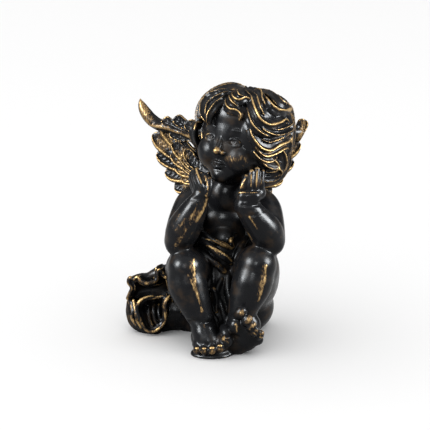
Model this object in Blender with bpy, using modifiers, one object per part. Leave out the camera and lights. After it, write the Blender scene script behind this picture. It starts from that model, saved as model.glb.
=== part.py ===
# Seated cherub figurine, cast in one piece: body, hair, wings and drapery.
# Metres, +Z up. The figure faces -Y and its own right hand is at -X.
# The pose and the carving are given in units, of which the figure is UNITS_TALL high.

import math

import bmesh
import bpy
from mathutils import Matrix, Vector

# Driving sizes
FIGURE_HEIGHT = 0.200
UNITS_TALL = 200
UNIT = FIGURE_HEIGHT / UNITS_TALL

# How fine the casting is worked, in units
FLESH_GRAIN = 1.5
CARVING_GRAIN = 1.05
FLESH_SMOOTHING = 9
CARVING_SMOOTHING = 2
MOST_TRIANGLES = 9700
TUBE_STEPS = 5
RING_SIDES = 16

# The head: its middle, the way it is turned, and its half sizes, in units
HEAD_MIDDLE = Vector((18.5, -5.5, 159.5))
HEAD_TURN = math.radians(-31)
HEAD_LIFT = math.radians(7)
HEAD_LEAN = math.radians(7)
SKULL = Vector((26.0, 29.0, 31.5))
HAIR_MIDDLE = Vector((0.2, 3.5, 1.6))
HAIR_SHELL = Vector((31.2, 33.2, 29.8))


def head_frame():
    """The head's own frame: +X to its left, +Y to the back, +Z to the crown."""
    turn = Matrix.Rotation(HEAD_TURN, 4, "Z")
    lift = Matrix.Rotation(-HEAD_LIFT, 4, "X")
    lean = Matrix.Rotation(HEAD_LEAN, 4, "Y")
    return Matrix.Translation(HEAD_MIDDLE) @ lean @ turn @ lift


HEAD = head_frame()


def through(stations, steps=TUBE_STEPS):
    """A smooth curve through the stations, whatever each one holds."""
    rows = [Vector(s) for s in stations]
    rows = [2 * rows[0] - rows[1], *rows, 2 * rows[-1] - rows[-2]]
    out = []
    for a, b, c, d in zip(rows, rows[1:], rows[2:], rows[3:]):
        for k in range(steps):
            t = k / steps
            out.append(
                0.5 * (2 * b + (c - a) * t + (2 * a - 5 * b + 4 * c - d) * t * t
                       + (3 * b - 3 * c + d - a) * t ** 3)
            )
    out.append(rows[-2])
    return out


def rounded(path):
    """The same stations with a dome added at each end."""
    def dome(end, inner):
        away = (Vector(end[:3]) - Vector(inner[:3])).normalized()
        made = []
        for angle in (25, 50, 72, 86):
            a = math.radians(angle)
            place = Vector(end[:3]) + away * end[3] * math.sin(a)
            made.append(Vector((*place, end[3] * math.cos(a))))
        return made

    return dome(path[0], path[1])[::-1] + path + dome(path[-1], path[-2])


def limb(stations, frame=Matrix(), sides=3):
    """A round form along stations of (x, y, z, radius)."""
    path = rounded(through(stations))
    curve = bpy.data.curves.new("limb", "CURVE")
    curve.dimensions = "3D"
    curve.bevel_depth = 1
    curve.bevel_resolution = sides
    curve.use_fill_caps = True
    spline = curve.splines.new("POLY")
    spline.points.add(len(path) - 1)
    for point, row in zip(spline.points, path):
        point.co = (*(frame @ Vector(row[:3])), 1)
        point.radius = max(row[3], 0.05)
    drawn = bpy.data.objects.new("limb", curve)
    bpy.context.scene.collection.objects.link(drawn)
    bpy.context.view_layer.update()
    graph = bpy.context.evaluated_depsgraph_get()
    mesh = bpy.data.meshes.new_from_object(drawn.evaluated_get(graph))
    bpy.data.objects.remove(drawn)
    return mesh


def ball(place, radii, frame=Matrix(), turn=(0, 0, 0)):
    """An ellipsoid, turned by three angles in degrees about its own axes."""
    bm = bmesh.new()
    bmesh.ops.create_uvsphere(bm, u_segments=24, v_segments=14, radius=1)
    tilt = Matrix.Rotation(math.radians(turn[2]), 4, "Z")
    tilt = tilt @ Matrix.Rotation(math.radians(turn[1]), 4, "Y")
    tilt = tilt @ Matrix.Rotation(math.radians(turn[0]), 4, "X")
    size = Matrix.Diagonal((*radii, 1))
    bmesh.ops.transform(bm, matrix=frame @ Matrix.Translation(place) @ tilt @ size, verts=bm.verts)
    return finished(bm)


def loft(rings):
    """A closed skin over unlike rings of points, with a flat cap at each end."""
    bm = bmesh.new()
    rows = [[bm.verts.new(p) for p in ring] for ring in rings]
    for low, high in zip(rows, rows[1:]):
        for k in range(len(low)):
            n = (k + 1) % len(low)
            bm.faces.new((low[k], low[n], high[n], high[k]))
    bm.faces.new(rows[0])
    bm.faces.new(rows[-1])
    bmesh.ops.recalc_face_normals(bm, faces=bm.faces)
    return finished(bm)


def finished(bm):
    mesh = bpy.data.meshes.new("form")
    bm.to_mesh(mesh)
    bm.free()
    return mesh


def ribbon(path, widths, depth, ups, flutes=0, flute_depth=0.0):
    """A flat form along a path. Each ring is an ellipse, wide across the path and thin along its up, with flutes on top."""
    rings = []
    for k, place in enumerate(path):
        ahead = (path[min(k + 1, len(path) - 1)] - path[max(k - 1, 0)]).normalized()
        up = (ups[k] - ahead * ups[k].dot(ahead)).normalized()
        side = ahead.cross(up)
        ring = []
        for s in range(RING_SIDES):
            a = 2 * math.pi * s / RING_SIDES
            across, rise = math.cos(a), math.sin(a)
            if flutes and rise > 0:
                rise *= 1 + flute_depth * math.cos(across * math.pi * flutes)
            thick = depth * min(1.0, 0.35 + widths[k] / max(widths))
            ring.append(place + side * across * widths[k] + up * rise * thick)
        rings.append(ring)
    return loft(rings)


# Body

TORSO_BALLS = (
    ((7, 20, 27), (25, 22, 25)),
    ((-8, 22, 19), (19.5, 22, 21)),
    ((25.5, 19, 17), (21.5, 22, 21)),
    ((7, 5, 50), (23, 21, 22)),
    ((7, 2, 80), (22.5, 16.5, 22)),
    ((7, 4, 99), (26, 13.5, 13)),
)
NECK = ((8, 3, 102, 14), (11, -2, 120, 12.5), (15, -5, 138, 13))

RIGHT_ARM = ((-14.5, 6, 105, 13.8), (-19, -1, 101, 13.2), (-24.5, -13, 91, 12), (-27, -24, 82, 11.6))
RIGHT_FOREARM = ((-27, -25, 82, 11.6), (-22.5, -29, 93, 12.4), (-16.5, -33, 107, 10.2), (-9.5, -34.5, 118, 7.8))
LEFT_ARM = ((31.5, 6, 103, 14.4), (37, -1, 99.5, 14), (40, -12, 91, 12.8), (41, -22, 82, 12.2))
LEFT_FOREARM = ((41.5, -24, 82, 12.2), (37, -28, 91, 12.6), (27.5, -32, 103, 10.2), (19, -33.5, 111, 8.4))

RIGHT_LEG = ((-8, 17, 28, 21), (-15.5, -4, 45, 20), (-21, -24, 59.5, 16.5), (-22, -33, 63.5, 14))
RIGHT_SHIN = ((-22, -33, 63, 13.6), (-20, -34, 50, 14.6), (-14.5, -38, 36, 11.6), (-10, -40.5, 25, 9.2))
LEFT_LEG = ((24.5, 17, 28, 21.5), (29, -4, 45, 20), (31.5, -24, 61, 17), (31.5, -32, 65, 14.8))
LEFT_SHIN = ((31, -32, 64, 14.4), (27, -34, 51, 14.8), (22.5, -37, 38, 12), (18.5, -40, 25, 9.4))


def torso():
    forms = [ball(place, radii) for place, radii in TORSO_BALLS]
    return forms + [limb(NECK)]


def limbs():
    return [limb(s) for s in (RIGHT_ARM, RIGHT_FOREARM, LEFT_ARM, LEFT_FOREARM,
                              RIGHT_LEG, RIGHT_SHIN, LEFT_LEG, LEFT_SHIN)]


# Feet

TOE_RADII = (4.8, 3.8, 3.6, 3.4, 3.3)


def right_foot():
    forms = [
        ball((-9, -34, 9), (9.5, 10, 10.5)),
        limb(((-9.5, -39, 22, 9.4), (-7.5, -45, 15, 9.6), (-5, -50, 9, 9))),
        ball((-3, -48, 7), (15, 10, 7.5)),
        ball((-2.5, -46.5, 0.5), (16.5, 12, 4.5)),
    ]
    for k, radius in enumerate(TOE_RADII):
        x = 9.5 - 6.0 * k
        y = -54 - 3.0 * math.sin(math.pi * (k + 0.6) / 5)
        z = 11.0 - 5.0 * math.sin(math.pi * k / 8)
        forms.append(limb(((x * 0.9, y + 9, z + 0.5, radius), (x, y + 3.5, z + 1.6, radius * 0.9), (x, y, z, radius))))
    return forms


LEFT_HEEL = Vector((18, -46, 9))
LEFT_FOOT_ALONG = Vector((0.47, -0.30, 0.83)).normalized()


def left_foot():
    along = LEFT_FOOT_ALONG
    sole = (Vector((0.05, -1, -0.15)) - along * Vector((0.05, -1, -0.15)).dot(along)).normalized()
    across = along.cross(sole)
    frame = Matrix.Translation(LEFT_HEEL) @ Matrix((across, along, sole)).transposed().to_4x4()
    forms = [
        ball((0, 0, 0), (10, 10.5, 9.5), frame),
        limb(((0, 0, -1, 9.5), (0.5, 9, -1, 9.5), (1, 17, -1, 9)), frame),
        ball((-0.5, 16, 1), (14.5, 8.5, 7), frame),
        ball((6, 3, -1), (6.5, 11, 8), frame),
        limb(((18.5, -40, 25, 9.4), (19, -41, 18, 9.6))),
    ]
    for k, radius in enumerate(TOE_RADII):
        x = -13.5 + 6.0 * k
        y = 28 - 0.6 * k * k
        forms.append(limb(((x * 0.85, y - 9, -1, radius), (x, y - 3, 0.5, radius * 0.9), (x, y, 1.6, radius)), frame))
    return forms


# Hands

RIGHT_HAND = (Matrix.Translation((-9.5, -33.5, 120)) @ Matrix.Rotation(math.radians(-16), 4, "Y")
              @ Matrix.Rotation(math.radians(-14), 4, "X"))
LEFT_HAND = Matrix.Translation((22, -31.5, 114))


def right_hand():
    """The hand lies flat against the cheek, seen from its thumb side."""
    forms = [ball((-1.5, 3, 5), (5.2, 9, 8.5), RIGHT_HAND)]
    for k in range(4):
        y = -3.5 + 4.4 * k
        forms.append(limb(((-1, y, 8, 3.1), (-3.2, y + 0.8, 15, 2.9), (-2.4, y + 2, 22 - 0.6 * k, 2.5)), RIGHT_HAND))
    forms.append(limb(((1.5, -3, 1, 3.8), (4.5, -4.5, 5, 3.4), (5, -4, 9, 3.0)), RIGHT_HAND))
    return forms


def left_hand():
    """The palm is bent back under the jaw and the fingers go up along it."""
    forms = [ball((3.5, 4, 3), (13.5, 9, 6.2), LEFT_HAND, (0, -8, 0))]
    for k in range(4):
        x = 1.5 + 5.2 * k
        forms.append(limb(((x, -1, 5, 3.1), (x - 0.5, -3.4 + 1.2 * k, 13, 3.0), (x - 1.5, -1 + 2 * k, 22 + 1.5 * k, 2.7),
                           (x - 3, 3 + 2 * k, 28 + 1.5 * k, 2.3)), LEFT_HAND))
    forms.append(limb(((-7, 1, 3, 3.8), (-5, -1, 10, 3.5), (-1, 1, 16, 3.0)), LEFT_HAND))
    return forms


# Head and face, in the head's own frame with its middle at the origin

HEAD_FLESH = (
    ((0, 1, 3), SKULL),
    ((0, -8, -7), (22.5, 19.5, 20)),
    ((13, -16, -13), (11, 10.5, 11)),
    ((-13, -16, -13), (11, 10.5, 11)),
    ((0, -17.5, -23), (7.5, 7, 6.2)),
    ((0, -17, 13), (19, 11.5, 13)),
)
EYE_PLACE = Vector((10.2, -23.6, -3.5))
EYE_RADIUS = 4.9


def head_flesh():
    return [ball(place, radii, HEAD) for place, radii in HEAD_FLESH]


def face():
    """Nose, lips, lids and eyes, in plain child's proportions."""
    forms = [
        limb(((0, -25.5, 1, 1.8), (0, -27.5, -5, 2.2), (0, -29.8, -10, 2.9)), HEAD),
        ball((0, -30, -10.8), (3.5, 3.2, 3.1), HEAD),
        ball((3.4, -27.6, -11.6), (2.5, 2.8, 2.3), HEAD),
        ball((-3.4, -27.6, -11.6), (2.5, 2.8, 2.3), HEAD),
        limb(((-6.5, -24.6, -19.2, 0.9), (-2.4, -27.4, -18.2, 1.6), (0, -27.7, -18.7, 1.4), (2.4, -27.4, -18.2, 1.6),
              (6.5, -24.6, -19.2, 0.9)), HEAD),
        limb(((-5.4, -24.8, -20.4, 0.9), (0, -27.1, -21.6, 2), (5.4, -24.8, -20.4, 0.9)), HEAD),
    ]
    for side in (-1, 1):
        x, y, z = EYE_PLACE
        forms.append(ball((side * x, y, z), (EYE_RADIUS,) * 3, HEAD))
        lid = EYE_RADIUS * 1.06
        for top, radius in ((1, 1.2), (-1, 0.9)):
            arc = []
            for angle in (-62, -35, 0, 35, 62):
                a = math.radians(angle)
                rise = top * lid * 0.52 * math.cos(a * 1.25)
                arc.append((side * x + lid * math.sin(a) * 1.05, y - lid * math.cos(a) * 0.94, z + rise, radius))
            forms.append(limb(arc, HEAD, 2))
    return forms


# Hair

def on_hair(azimuth, elevation, lift=0.0):
    """A point over the hair shell. Azimuth 0 is over the face and 90 over the left ear."""
    a, e = math.radians(azimuth), math.radians(elevation)
    way = Vector((math.cos(e) * math.sin(a), -math.cos(e) * math.cos(a), math.sin(e)))
    return HAIR_MIDDLE + Vector(w * (s + lift) for w, s in zip(way, HAIR_SHELL)), way


# Each front lock: stations of (azimuth, elevation, lift), then its half width
FRONT_LOCKS = (
    (((8, 72, 1), (-14, 62, 3), (-38, 44, 3), (-54, 22, 1), (-60, 2, 0)), 6),
    (((2, 78, 1), (-30, 66, 3), (-58, 46, 3), (-72, 20, 1), (-70, -8, 0)), 7),
    (((14, 74, 2), (4, 58, 4.5), (2, 42, 4), (14, 31, 3), (26, 32, 1)), 6),
    (((20, 76, 2), (16, 62, 5), (16, 50, 5.5), (26, 42, 4), (36, 44, 2)), 5.5),
    (((24, 78, 2), (30, 60, 5), (38, 40, 6), (54, 26, 6), (74, 26, 6), (90, 30, 4)), 7),
    (((26, 70, 2), (34, 48, 4), (42, 28, 4), (54, 12, 4), (72, 8, 5), (88, 14, 5)), 6.5),
    (((40, 46, 2), (48, 22, 3), (56, 4, 4), (70, -8, 5), (86, -8, 6), (102, 0, 5)), 6.5),
    (((46, 16, 1), (54, -4, 3), (64, -18, 5), (80, -24, 6), (96, -18, 6), (110, -8, 4)), 6),
    (((50, 0, 1), (58, -18, 3), (68, -32, 5), (84, -38, 6), (100, -30, 5)), 5.5),
    (((54, -12, 1), (62, -32, 2), (72, -48, 4), (92, -52, 5), (110, -42, 4)), 5.5),
    (((60, 74, 2), (70, 56, 5), (86, 44, 6), (104, 40, 5), (118, 28, 4)), 7),
    (((80, 60, 2), (100, 40, 5), (112, 22, 6), (124, 12, 5), (134, 20, 4)), 7),
    (((-6, 84, 2), (-60, 66, 4), (-84, 44, 4), (-92, 16, 3), (-88, -14, 1)), 7),
    (((-60, -6, 0), (-72, -22, 2), (-84, -38, 3), (-100, -48, 2)), 5.5),
)
BACK_RINGS = ((9, 58, 7.5), (11, 28, 7.5), (11, -2, 7), (9, -32, 6.5))


def lock(stations, width, flutes=2):
    """One lock of hair over the shell, widest in its middle, with flutes along it."""
    samples = through(stations, 6)
    path, ups = [], []
    for azimuth, elevation, lift in samples:
        place, way = on_hair(azimuth, elevation, lift)
        path.append(HEAD @ place)
        ups.append((HEAD.to_3x3() @ way).normalized())
    last = len(path) - 1
    widths = [width * (0.12 + 0.88 * math.sin(math.pi * (0.08 + 0.88 * k / last)) ** 0.7) for k in range(last + 1)]
    return ribbon(path, widths, 4.2, ups, flutes, 0.34)


def hair():
    forms = [lock(stations, width) for stations, width in FRONT_LOCKS]
    for ring, (count, elevation, width) in enumerate(BACK_RINGS):
        for k in range(count):
            azimuth = 96 + (168 * (k + 0.5 * (ring % 2))) / (count - 1)
            sway = 12 * (-1) ** (k + ring)
            forms.append(lock((
                (azimuth, elevation + 24, 0.5), (azimuth + sway, elevation + 8, 3.5),
                (azimuth - sway * 0.4, elevation - 8, 4.5), (azimuth + sway, elevation - 22, 2.5),
            ), width))
    return forms


def hair_shell():
    return [
        ball(HAIR_MIDDLE + Vector((0, 3.5, 1)), HAIR_SHELL, HEAD),
        ball((14, 8, -14), (21, 25, 25), HEAD),
        ball((-8, 12, -14), (20, 20, 22), HEAD),
        ball((18, -8, 6), (14, 17, 22), HEAD),
        ball((25, 2, 4), (9, 18, 20), HEAD),
    ]


# Wings, in a frame whose X runs out along the wing, Y to its front face and Z up

WING_ROOT = Vector((7, 21, 116))
WING_SWEEP = math.radians(21)
FEATHER_ROWS = ((8, 1.0, 0.0), (6, 0.74, 3.6), (5, 0.5, 6.4))
FAN = (-42, 62)
FEATHER_ROLL = math.radians(27)


def wing_frame(side, droop):
    """side is -1 for the figure's right wing and 1 for its left."""
    out = Vector((side * math.cos(WING_SWEEP), math.sin(WING_SWEEP), 0))
    front = Vector((side * math.sin(WING_SWEEP), -math.cos(WING_SWEEP), 0))
    turn = Matrix((out, front, Vector((0, 0, 1)))).transposed().to_4x4()
    return Matrix.Translation(WING_ROOT + Vector((side * 9, 0, 0))) @ turn @ Matrix.Rotation(droop, 4, "Y")


def feather(root, angle, length, width, lift, frame, bend=8.0):
    """A flat feather in the wing's plane, sagging in its middle, with a raised shaft."""
    a = math.radians(angle)
    ahead, above = Vector((math.cos(a), 0, math.sin(a))), Vector((-math.sin(a), 0, math.cos(a)))
    path, ups, widths = [], [], []
    for k in range(11):
        t = k / 10
        sag = -bend * t * (1 - t)
        path.append(frame @ (root + ahead * length * t + above * sag + Vector((0, lift * (1 - 0.25 * t), 0))))
        ups.append(frame.to_3x3() @ (Vector((0, 1, 0)) + above * math.tan(FEATHER_ROLL) * (1 if lift >= 0 else -1)))
        widths.append(width * (0.3 + 0.7 * math.sin(math.pi * min(1, 0.1 + 0.62 * t)))
                      * math.sqrt(max(0.02, 1 - max(0, t - 0.72) ** 2 / 0.0784)))
    return ribbon(path, widths, 2.2, ups, 1, 0.3)


def feather_length(angle):
    """The wing is longest a little below its arm and short at its foot."""
    share = (angle - FAN[0]) / 80
    return min(28 + 14 * share + 22 * share ** 3, 46 + 0.9 * (62 - angle) ** 0.8)


ARM = ((-4, 0, -4, 6), (2, 0, 16, 7), (10, 0, 34, 7.5), (22, 1, 43.5, 6.8), (34, 1, 44.5, 6), (43, 1, 43.5, 5.6))
HORN = ((53, 0.5, 47, 5), (60, 0, 55, 3.2), (62.5, 0, 62, 1))
ROUND_END = ((47, 0.5, 45, 6.6), (49.5, 0, 46, 6))


def wing(side, droop, end):
    frame = wing_frame(side, droop)
    root = Vector((2, 0, 10))
    forms = []
    for count, share, lift in FEATHER_ROWS:
        for k in range(count):
            angle = FAN[0] + (FAN[1] - FAN[0]) * (k + 0.5) / count
            length = feather_length(angle) * share
            for face in (-1, 1) if lift else (1,):
                forms.append(feather(root, angle, length, 6.2, face * lift, frame))
    for k in range(3):
        forms.append(feather(Vector((10 + 7 * k, -3, 34 + 3 * k)), 34 - 14 * k, 19, 4.5, 0, frame, 3))
    forms.append(limb(ARM + end, frame))
    return forms


# Drapery

def bowl(rim, back, pleats, thick=3.2):
    """A thick flared mouth of cloth: out along its outer side to a wavy rim, and back inside."""
    around = [p.xyz for p in through([*rim, rim[0]], 5)][:-1]
    middle = sum(around, Vector()) / len(around)
    back = Vector(back)
    inward = []
    for k in range(len(around)):
        along = around[(k + 1) % len(around)] - around[k - 1]
        way = back.cross(along).normalized()
        inward.append(way if way.dot(middle - around[k]) > 0 else -way)
    rings = []
    for depth, grow, inset in ((1, 0.3, 0), (0.85, 0.66, 0), (0.5, 0.92, 0), (0.15, 1, 0), (0, 1, 0.25), (0, 1, 0.75),
                               (0.15, 1, 1), (0.4, 0.9, 1), (0.62, 0.62, 1), (0.66, 0.25, 1)):
        ring = []
        for k, p in enumerate(around):
            reach = (p - middle) * grow
            reach *= 1 + 0.05 * math.cos(2 * math.pi * pleats * k / len(around)) * min(1, depth * 3)
            ring.append(middle + reach + inward[k] * thick * inset + back * depth)
        rings.append(ring)
    return loft(rings)


UPPER_MOUTH = ((-33, 0, 49), (-38, 2, 56.5), (-45, 1, 50), (-52, -1, 45), (-60, 1, 47.5), (-68, 3, 45), (-69, 5, 32),
               (-68.5, 8, 18), (-60, 8, 8), (-44, 6, 5), (-32, 4, 16))
LOWER_MOUTH = ((-34, -3, 37), (-38, -4, 28), (-38, -4, 16), (-40, -4, 8), (-46, -4, 4), (-53, -5, 10), (-58, -5, 21),
               (-59, -4, 30), (-53, -3, 37), (-44, -2, 39))


def side_cloth():
    """The end of the cloth, which flares out past the right hip in two mouths."""
    return [
        bowl(UPPER_MOUTH, (14, 34, -3), 6),
        bowl(LOWER_MOUTH, (5, 20, -4), 5),
        ball((-30, 24, 14), (26, 24, 20)),
        limb(((-68, 10, 19, 3), (-65, 7, 8, 4.2), (-57, 5, 2, 4.5), (-48, 2, 1, 4.5))),
        limb(((-66, 9, 26, 3), (-62, 4, 13, 3.5), (-54, 1, 6, 3))),
        limb(((-46, 8, 1, 6), (-34, 13, 1, 6), (-22, 19, 1, 6))),
    ]


def seat_cloth():
    """The cloth under the seat and round the back, in low upright folds."""
    rings = []
    for height, reach in ((-3, 0.92), (2, 0.94), (8, 1.0), (15, 0.97), (21, 0.84), (25, 0.6)):
        ring = []
        for k in range(72):
            a = 2 * math.pi * k / 72
            fold = 1 + 0.05 * math.cos(13 * a + 0.06 * height)
            ring.append(Vector((3 + 39 * reach * fold * math.cos(a), 21 + 27 * reach * fold * math.sin(a), height)))
        rings.append(ring)
    return [loft(rings)]


LAP_FOLDS = (
    ((-17, -12, 84, 2.5), (-8, -17, 85, 3), (1, -20, 78, 3), (9, -20, 71, 2.5), (15, -17, 68, 2)),
    ((-17, -13, 77, 3.5), (-9, -19, 74, 4), (1, -22, 66, 4.2), (9, -21, 56, 3), (11, -18, 50, 2.5)),
    ((-16, -12, 68, 3.5), (-8, -17, 63, 3.5), (0, -20, 54, 3.5), (6, -21, 46, 3)),
    ((22, -10, 76, 3.2), (17, -16, 68, 3.2), (13, -19, 58, 3), (11, -20, 48, 2.5)),
)
SKIRT_FOLDS = (
    ((-6, -14, 60, 4), (-7, -20, 44, 4.5), (-6, -27, 24, 4.5), (-4, -32, 4, 5)),
    ((1, -15, 58, 4), (0, -23, 44, 4.2), (3, -30, 24, 4.5), (5, -34, 4, 5)),
    ((8, -14, 56, 4), (8, -21, 42, 4.5), (11, -27, 24, 4.5), (12, -32, 4, 5)),
)


def lap_cloth():
    forms = [limb(fold) for fold in LAP_FOLDS + SKIRT_FOLDS]
    return forms + [ball((4, -6, 36), (18, 20, 34)), ball((5, -14, 6), (16, 22, 10)), ball((3, -8, 66), (20, 12, 17)),
                    ball((27, -2, 76), (9, 9, 16)), ball((-13, -3, 78), (9, 9, 14))]


# Fusing

def joined(meshes, name):
    bm = bmesh.new()
    for mesh in meshes:
        bm.from_mesh(mesh)
        bpy.data.meshes.remove(mesh)
    whole = bpy.data.objects.new(name, finished(bm))
    bpy.context.scene.collection.objects.link(whole)
    return whole


def outer_shell(mesh):
    """The mesh without the small shells that fusing leaves inside it."""
    bm = bmesh.new()
    bm.from_mesh(mesh)
    left = set(bm.verts)
    shells = []
    while left:
        edge = [left.pop()]
        shell = list(edge)
        while edge:
            v = edge.pop()
            for e in v.link_edges:
                o = e.other_vert(v)
                if o in left:
                    left.discard(o)
                    edge.append(o)
                    shell.append(o)
        shells.append(shell)
    shells.sort(key=len)
    for shell in shells[:-1]:
        bmesh.ops.delete(bm, geom=shell, context="VERTS")
    return finished(bm)


def worked(obj):
    """The mesh that an object's modifiers make. The object is used up."""
    bpy.context.view_layer.update()
    graph = bpy.context.evaluated_depsgraph_get()
    mesh = bpy.data.meshes.new_from_object(obj.evaluated_get(graph))
    bpy.data.objects.remove(obj)
    return mesh


def fused(meshes, grain, smoothing, name):
    """All the forms as one closed skin, smoothed a little."""
    whole = joined(meshes, name)
    remesh = whole.modifiers.new("fuse", "REMESH")
    remesh.mode = "VOXEL"
    remesh.voxel_size = grain
    smooth = whole.modifiers.new("smooth", "SMOOTH")
    smooth.factor = 0.5
    smooth.iterations = round(smoothing)
    return outer_shell(worked(whole))


# Where the casting is finely carved: middle, reach and how strongly it is kept
FINE_PLACES = (
    ((-10, -34, 131), 15, 1.0),
    ((24, -31, 128), 18, 1.0),
    ((-3, -54, 9), 17, 1.0),
    ((26, -54, 26), 17, 1.0),
    ((5, -25, 155), 19, 0.8),
    ((25, -28, 178), 22, 0.8),
    ((44, -20, 162), 22, 0.8),
    ((-44, 24, 136), 24, 0.8),
    ((-27, 20, 132), 18, 0.8),
)
KEEP_FINE = 0.02


def thinned(mesh, most):
    """The same skin with no more than this many triangles, closest where it is finely carved."""
    whole = bpy.data.objects.new("thinned", mesh)
    bpy.context.scene.collection.objects.link(whole)
    group = whole.vertex_groups.new(name="fine")
    for v in mesh.vertices:
        weight = 0
        for middle, reach, strength in FINE_PLACES:
            far = (v.co - Vector(middle)).length / reach
            weight = max(weight, strength * min(1, max(0, 2 - 1.6 * far)))
        if weight:
            group.add((v.index,), weight, "REPLACE")
    thin = whole.modifiers.new("thin", "DECIMATE")
    thin.vertex_group = group.name
    thin.invert_vertex_group = True
    thin.vertex_group_factor = KEEP_FINE
    thin.ratio = most / sum(len(p.vertices) - 2 for p in mesh.polygons)
    return worked(whole)


def bronze():
    """Black-brown casting with a dry-brushed bronze sheen."""
    material = bpy.data.materials.new("antique_bronze_finish")
    material.use_nodes = True
    shader = material.node_tree.nodes["Principled BSDF"]
    shader.inputs["Base Color"].default_value = (0.030, 0.024, 0.020, 1)
    shader.inputs["Roughness"].default_value = 0.34
    shader.inputs["Metallic"].default_value = 0.25
    return material


def ground_cutter():
    """A slab below the ground, which cuts the underside flat."""
    bm = bmesh.new()
    bmesh.ops.create_cube(bm, size=1)
    size = Matrix.Diagonal((2 * FIGURE_HEIGHT, 2 * FIGURE_HEIGHT, FIGURE_HEIGHT, 1))
    bmesh.ops.transform(bm, matrix=Matrix.Translation((0, 0, -FIGURE_HEIGHT / 2)) @ size, verts=bm.verts)
    cutter = bpy.data.objects.new("ground_cutter", finished(bm))
    cutter.hide_render = True
    cutter.display_type = "WIRE"
    return cutter


def main():
    for old in list(bpy.data.objects):
        bpy.data.objects.remove(old)
    flesh = fused(torso() + limbs() + head_flesh() + hair_shell(), FLESH_GRAIN, FLESH_SMOOTHING, "flesh")
    carving = right_foot() + left_foot() + right_hand() + left_hand() + face() + hair()
    carving += wing(-1, 0, HORN) + wing(1, math.radians(8), ROUND_END)
    carving += side_cloth() + seat_cloth() + lap_cloth()
    skin = fused([flesh, *carving], CARVING_GRAIN, CARVING_SMOOTHING, "skin")
    skin = thinned(skin, MOST_TRIANGLES)
    skin.transform(Matrix.Scale(UNIT, 4))
    skin.materials.append(bronze())
    skin.shade_smooth()

    figurine = bpy.data.objects.new("figurine", skin)
    cutter = ground_cutter()
    for name, obj in (("angel_figurine", figurine), ("cutters", cutter)):
        collection = bpy.data.collections.new(name)
        bpy.context.scene.collection.children.link(collection)
        collection.objects.link(obj)
    cut = figurine.modifiers.new("underside", "BOOLEAN")
    cut.operation = "DIFFERENCE"
    cut.object = cutter


main()
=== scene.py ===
import math

import bpy
import numpy as np
from mathutils import Matrix, Vector


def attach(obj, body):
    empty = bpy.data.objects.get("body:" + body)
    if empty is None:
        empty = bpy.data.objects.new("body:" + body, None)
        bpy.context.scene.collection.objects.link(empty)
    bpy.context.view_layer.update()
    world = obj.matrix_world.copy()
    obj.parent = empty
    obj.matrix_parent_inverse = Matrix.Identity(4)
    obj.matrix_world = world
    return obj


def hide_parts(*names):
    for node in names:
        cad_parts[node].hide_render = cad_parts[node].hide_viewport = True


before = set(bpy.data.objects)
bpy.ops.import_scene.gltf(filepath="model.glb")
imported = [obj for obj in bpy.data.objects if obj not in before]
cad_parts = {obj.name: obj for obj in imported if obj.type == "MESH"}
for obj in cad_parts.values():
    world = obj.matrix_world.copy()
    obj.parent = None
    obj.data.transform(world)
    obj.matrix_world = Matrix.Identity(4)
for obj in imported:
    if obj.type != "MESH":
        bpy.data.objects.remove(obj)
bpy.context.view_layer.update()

# The figurine is sculpted here in millimetres and scaled to metres at the end.
millimetre = 0.001


# Camera, in millimetres and in the photograph's own 430 px frame

view = {"distance": 1000, "elevation": 14, "span": 329.5, "target": (0, 0, 95.6), "size": 430, "sensor": 36}
viewTilt = math.radians(view["elevation"])
viewBack = np.array((0, -math.cos(viewTilt), math.sin(viewTilt)))
viewUp = np.array((0, math.sin(viewTilt), math.cos(viewTilt)))


def seenAt(points):
    # where the camera sees each point: middle + focal * sideways / depth
    q = points - view["target"]
    scale = view["size"] * view["distance"] / view["span"] / (view["distance"] - q @ viewBack)
    return np.stack([view["size"] / 2 + q[:, 0] * scale, view["size"] / 2 - (q @ viewUp) * scale], axis=1)


# Shared shape functions

def unitRows(rows):
    # each row divided by its own length
    return rows / np.maximum(np.linalg.norm(rows, axis=-1, keepdims=True), 1e-9)


def curveThrough(stations, steps=8):
    # Catmull-Rom: half of (2b + (c-a)t + (2a-5b+4c-d)t^2 + (3b-3c+d-a)t^3), for every span at once
    p = np.array(stations, float)
    p = np.vstack([2 * p[0] - p[1], p, 2 * p[-1] - p[-2]])
    a, b, c, d = (p[k:len(p) - 3 + k][:, None, :] for k in range(4))
    t = (np.arange(steps) / steps)[None, :, None]
    squared = 2 * a - 5 * b + 4 * c - d
    cubed = 3 * b - 3 * c + d - a
    rows = 0.5 * (2 * b + (c - a) * t + squared * t ** 2 + cubed * t ** 3)
    return np.vstack([rows.reshape(-1, p.shape[1]), p[-2]])


def moved(points, place):
    # every point through one 4 by 4 matrix
    if place is None:
        return points
    m = np.array(place)
    return points @ m[:3, :3].T + m[:3, 3]


def tube(stations, place=None, steps=8, sides=20):
    # rings of radius r round a path, with a dome r*cos, r*sin added at each end
    rows = curveThrough(stations, steps)
    rows[:, 3] = np.maximum(rows[:, 3], 0.1)
    angles = np.radians([18, 36, 54, 70, 82, 90])

    def dome(end, inner):
        away = unitRows((end - inner)[None, :3])
        return np.column_stack([end[:3] + away * end[3] * np.sin(angles)[:, None], end[3] * np.cos(angles)])

    rows = np.vstack([dome(rows[0], rows[1])[::-1], rows, dome(rows[-1], rows[-2])])
    path = rows[:, :3]
    ahead = unitRows(np.gradient(path, axis=0))
    least = np.eye(3)[np.argmin(np.abs(ahead).max(axis=0))]
    side = unitRows(np.cross(ahead, least))
    up = np.cross(side, ahead)
    turn = np.linspace(0, 2 * np.pi, sides, endpoint=False)[None, :, None]
    rim = side[:, None] * np.cos(turn) + up[:, None] * np.sin(turn)
    return moved(path[:, None] + rows[:, 3][:, None, None] * rim, place)


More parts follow.
